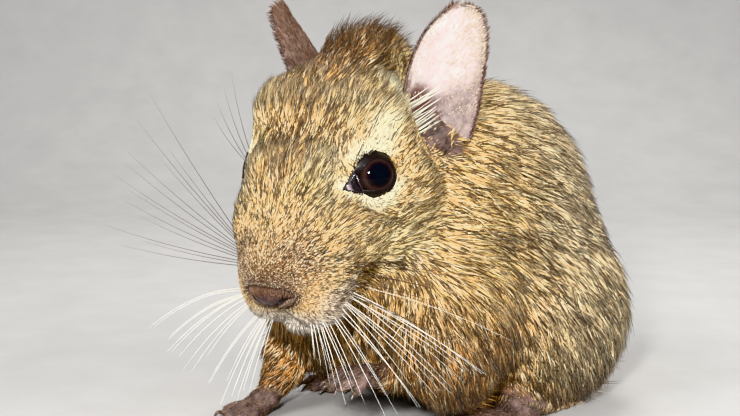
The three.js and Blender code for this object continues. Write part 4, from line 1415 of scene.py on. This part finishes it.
def add_brush(material):
    """The long black hairs of the tail's end."""
    draw = np.random.default_rng(91)
    total = len(TAIL_LINE) - 1
    count = 5200
    index = np.clip(draw.beta(2.0, 1.5, count) * 0.32 * total + 0.67 * total, 0, total - 1)
    share = index / total
    base = index.astype(int)
    part = (index - base)[:, None]
    middle = TAIL_LINE[base] * (1 - part) + TAIL_LINE[base + 1] * part
    way = TAIL_WAY[base]
    across = unit(np.cross(way, [0, 0, 1]))
    over = np.cross(across, way)
    angle = draw.uniform(0, 2 * math.pi, count)[:, None]
    outward = across * np.cos(angle) + over * np.sin(angle)
    core = 1.9 - 1.1 * smoothstep(0.8, 1.0, share)[:, None]
    length = (3.0 + 8.0 * smoothstep(0.7, 0.84, share)) * draw.uniform(0.7, 1.15, count)
    length *= 1 - 0.35 * smoothstep(0.93, 1.0, share)
    place = middle + outward * (core * 0.9)
    place[:, 2] = np.maximum(place[:, 2], 0.25)
    lifts = draw.uniform(0.12, 0.5, count) * smoothstep(0.68, 0.84, share) + 0.1
    tint = np.outer(draw.uniform(0.4, 1.7, count), srgb(34, 27, 25))
    uv = np.column_stack([share, angle[:, 0] / (2 * math.pi)]) * 0.98 + 0.01
    thing = tufts("tail_brush_hair", place, outward, way, length, draw.uniform(0.16, 0.3, count), lifts,
                  tint, np.zeros(count), uv, 2, 92)
    keep(thing, material)
    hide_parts("tail_brush")
    stem = hair_tubes("tail_end", [TAIL_LINE[int(total * 0.8) :]], [1.9], 14)
    keep(stem, tail_skin_material())


def main():
    bpy.context.scene.view_settings.view_transform = "Khronos PBR Neutral"
    skin, roots = build_skin()
    outer = BVHTree.FromPolygons([Vector(p) for p in skin.points], skin.quads.tolist())
    lay_coat(skin, roots)
    fur = bpy.data.materials["coat_hair"]
    eye, lid, wet, ear = eye_material(), lid_material(), wet_material(), ear_material()
    for side, sign in SIDES.items():
        add_eye(side, sign, eye)
        add_lids(side, sign, outer, lid, wet)
        add_ear(side, sign, ear)
        add_ear_hair(side, sign, fur)
        add_ear_bristles(side, sign)
    add_whiskers(outer)
    add_brush(fur)
    add_nose()
    add_nose_hair(fur)
    add_claws()
    add_studio()
    add_camera()


def add_studio():
    """A plain pale floor that curves up behind, and soft lights."""
    FLOOR_REACH, WALL_HEIGHT = 2600, 3200
    FLAT, BEND, STEPS = 250, 220, 12
    # The floor's line from front to back: the distance behind the animal, and the height
    line = [(-FLOOR_REACH, 0), (FLAT, 0)]
    for step in range(1, STEPS + 1):
        angle = math.radians(90 * step / STEPS)
        line.append((FLAT + BEND * math.sin(angle), BEND * (1 - math.cos(angle))))
    line.append((FLAT + BEND, WALL_HEIGHT))
    rows = []
    for distance, height in line:
        for side in SIDES.values():
            rows.append(LEVEL_AWAY * distance - VIEW_RIGHT * FLOOR_REACH * side + [0, 0, height])
    floor = new_mesh("floor", np.array(rows), grid_faces(len(line), 2))
    nodes = Nodes("pale_floor")
    grain = nodes.noise(60)
    nodes.bump(grain, 0.02, 0.001)
    colour = nodes.two_tones(grain, (156, 154, 151), (162, 160, 157))
    floor.data.materials.append(nodes.set(Base_Color=colour, Roughness=0.8))
    world = bpy.data.worlds.new("studio")
    world.use_nodes = True
    background = world.node_tree.nodes["Background"]
    background.inputs["Color"].default_value = (0.9, 0.93, 1.0, 1)
    background.inputs["Strength"].default_value = 0.55
    bpy.context.scene.world = world
    # Power in watts, size in mm, and place from the head: to the camera's right, towards it, up
    LIGHTS = {
        "flash": (1.5, 32, (-30, 270, 85)),
        "key": (2.3, 300, (-330, 200, 330)),
        "fill": (2.8, 320, (390, 140, 140)),
        "rim": (1.6, 240, (60, -260, 300)),
    }
    for name, (power, size, (across, toward, up)) in LIGHTS.items():
        lamp = bpy.data.lights.new(name, "AREA")
        lamp.shape = "DISK"
        lamp.energy = power
        lamp.size = size * MM
        thing = bpy.data.objects.new(name, lamp)
        offset = VIEW_RIGHT * across - LEVEL_AWAY * toward + [0, 0, up]
        thing.location = (HEAD_ORIGIN + offset) * MM
        thing.rotation_euler = Vector(-offset).to_track_quat("-Z", "Y").to_euler()
        # The eye shows the flash alone
        thing.visible_glossy = name == "flash"
        bpy.context.scene.collection.objects.link(thing)


def add_camera():
    camera = bpy.data.cameras.new("camera")
    camera.lens = LENS_MM
    camera.sensor_width = SENSOR_MM
    camera.clip_start = 0.01
    thing = bpy.data.objects.new("camera", camera)
    thing.location = (CAMERA_IN_BODY + BODY_SHIFT) * MM
    thing.rotation_euler = np.radians([90 - CAMERA_ELEVATION_DEG, 0, CAMERA_AZIMUTH_DEG])
    bpy.context.scene.collection.objects.link(thing)
    bpy.context.scene.camera = thing


main()
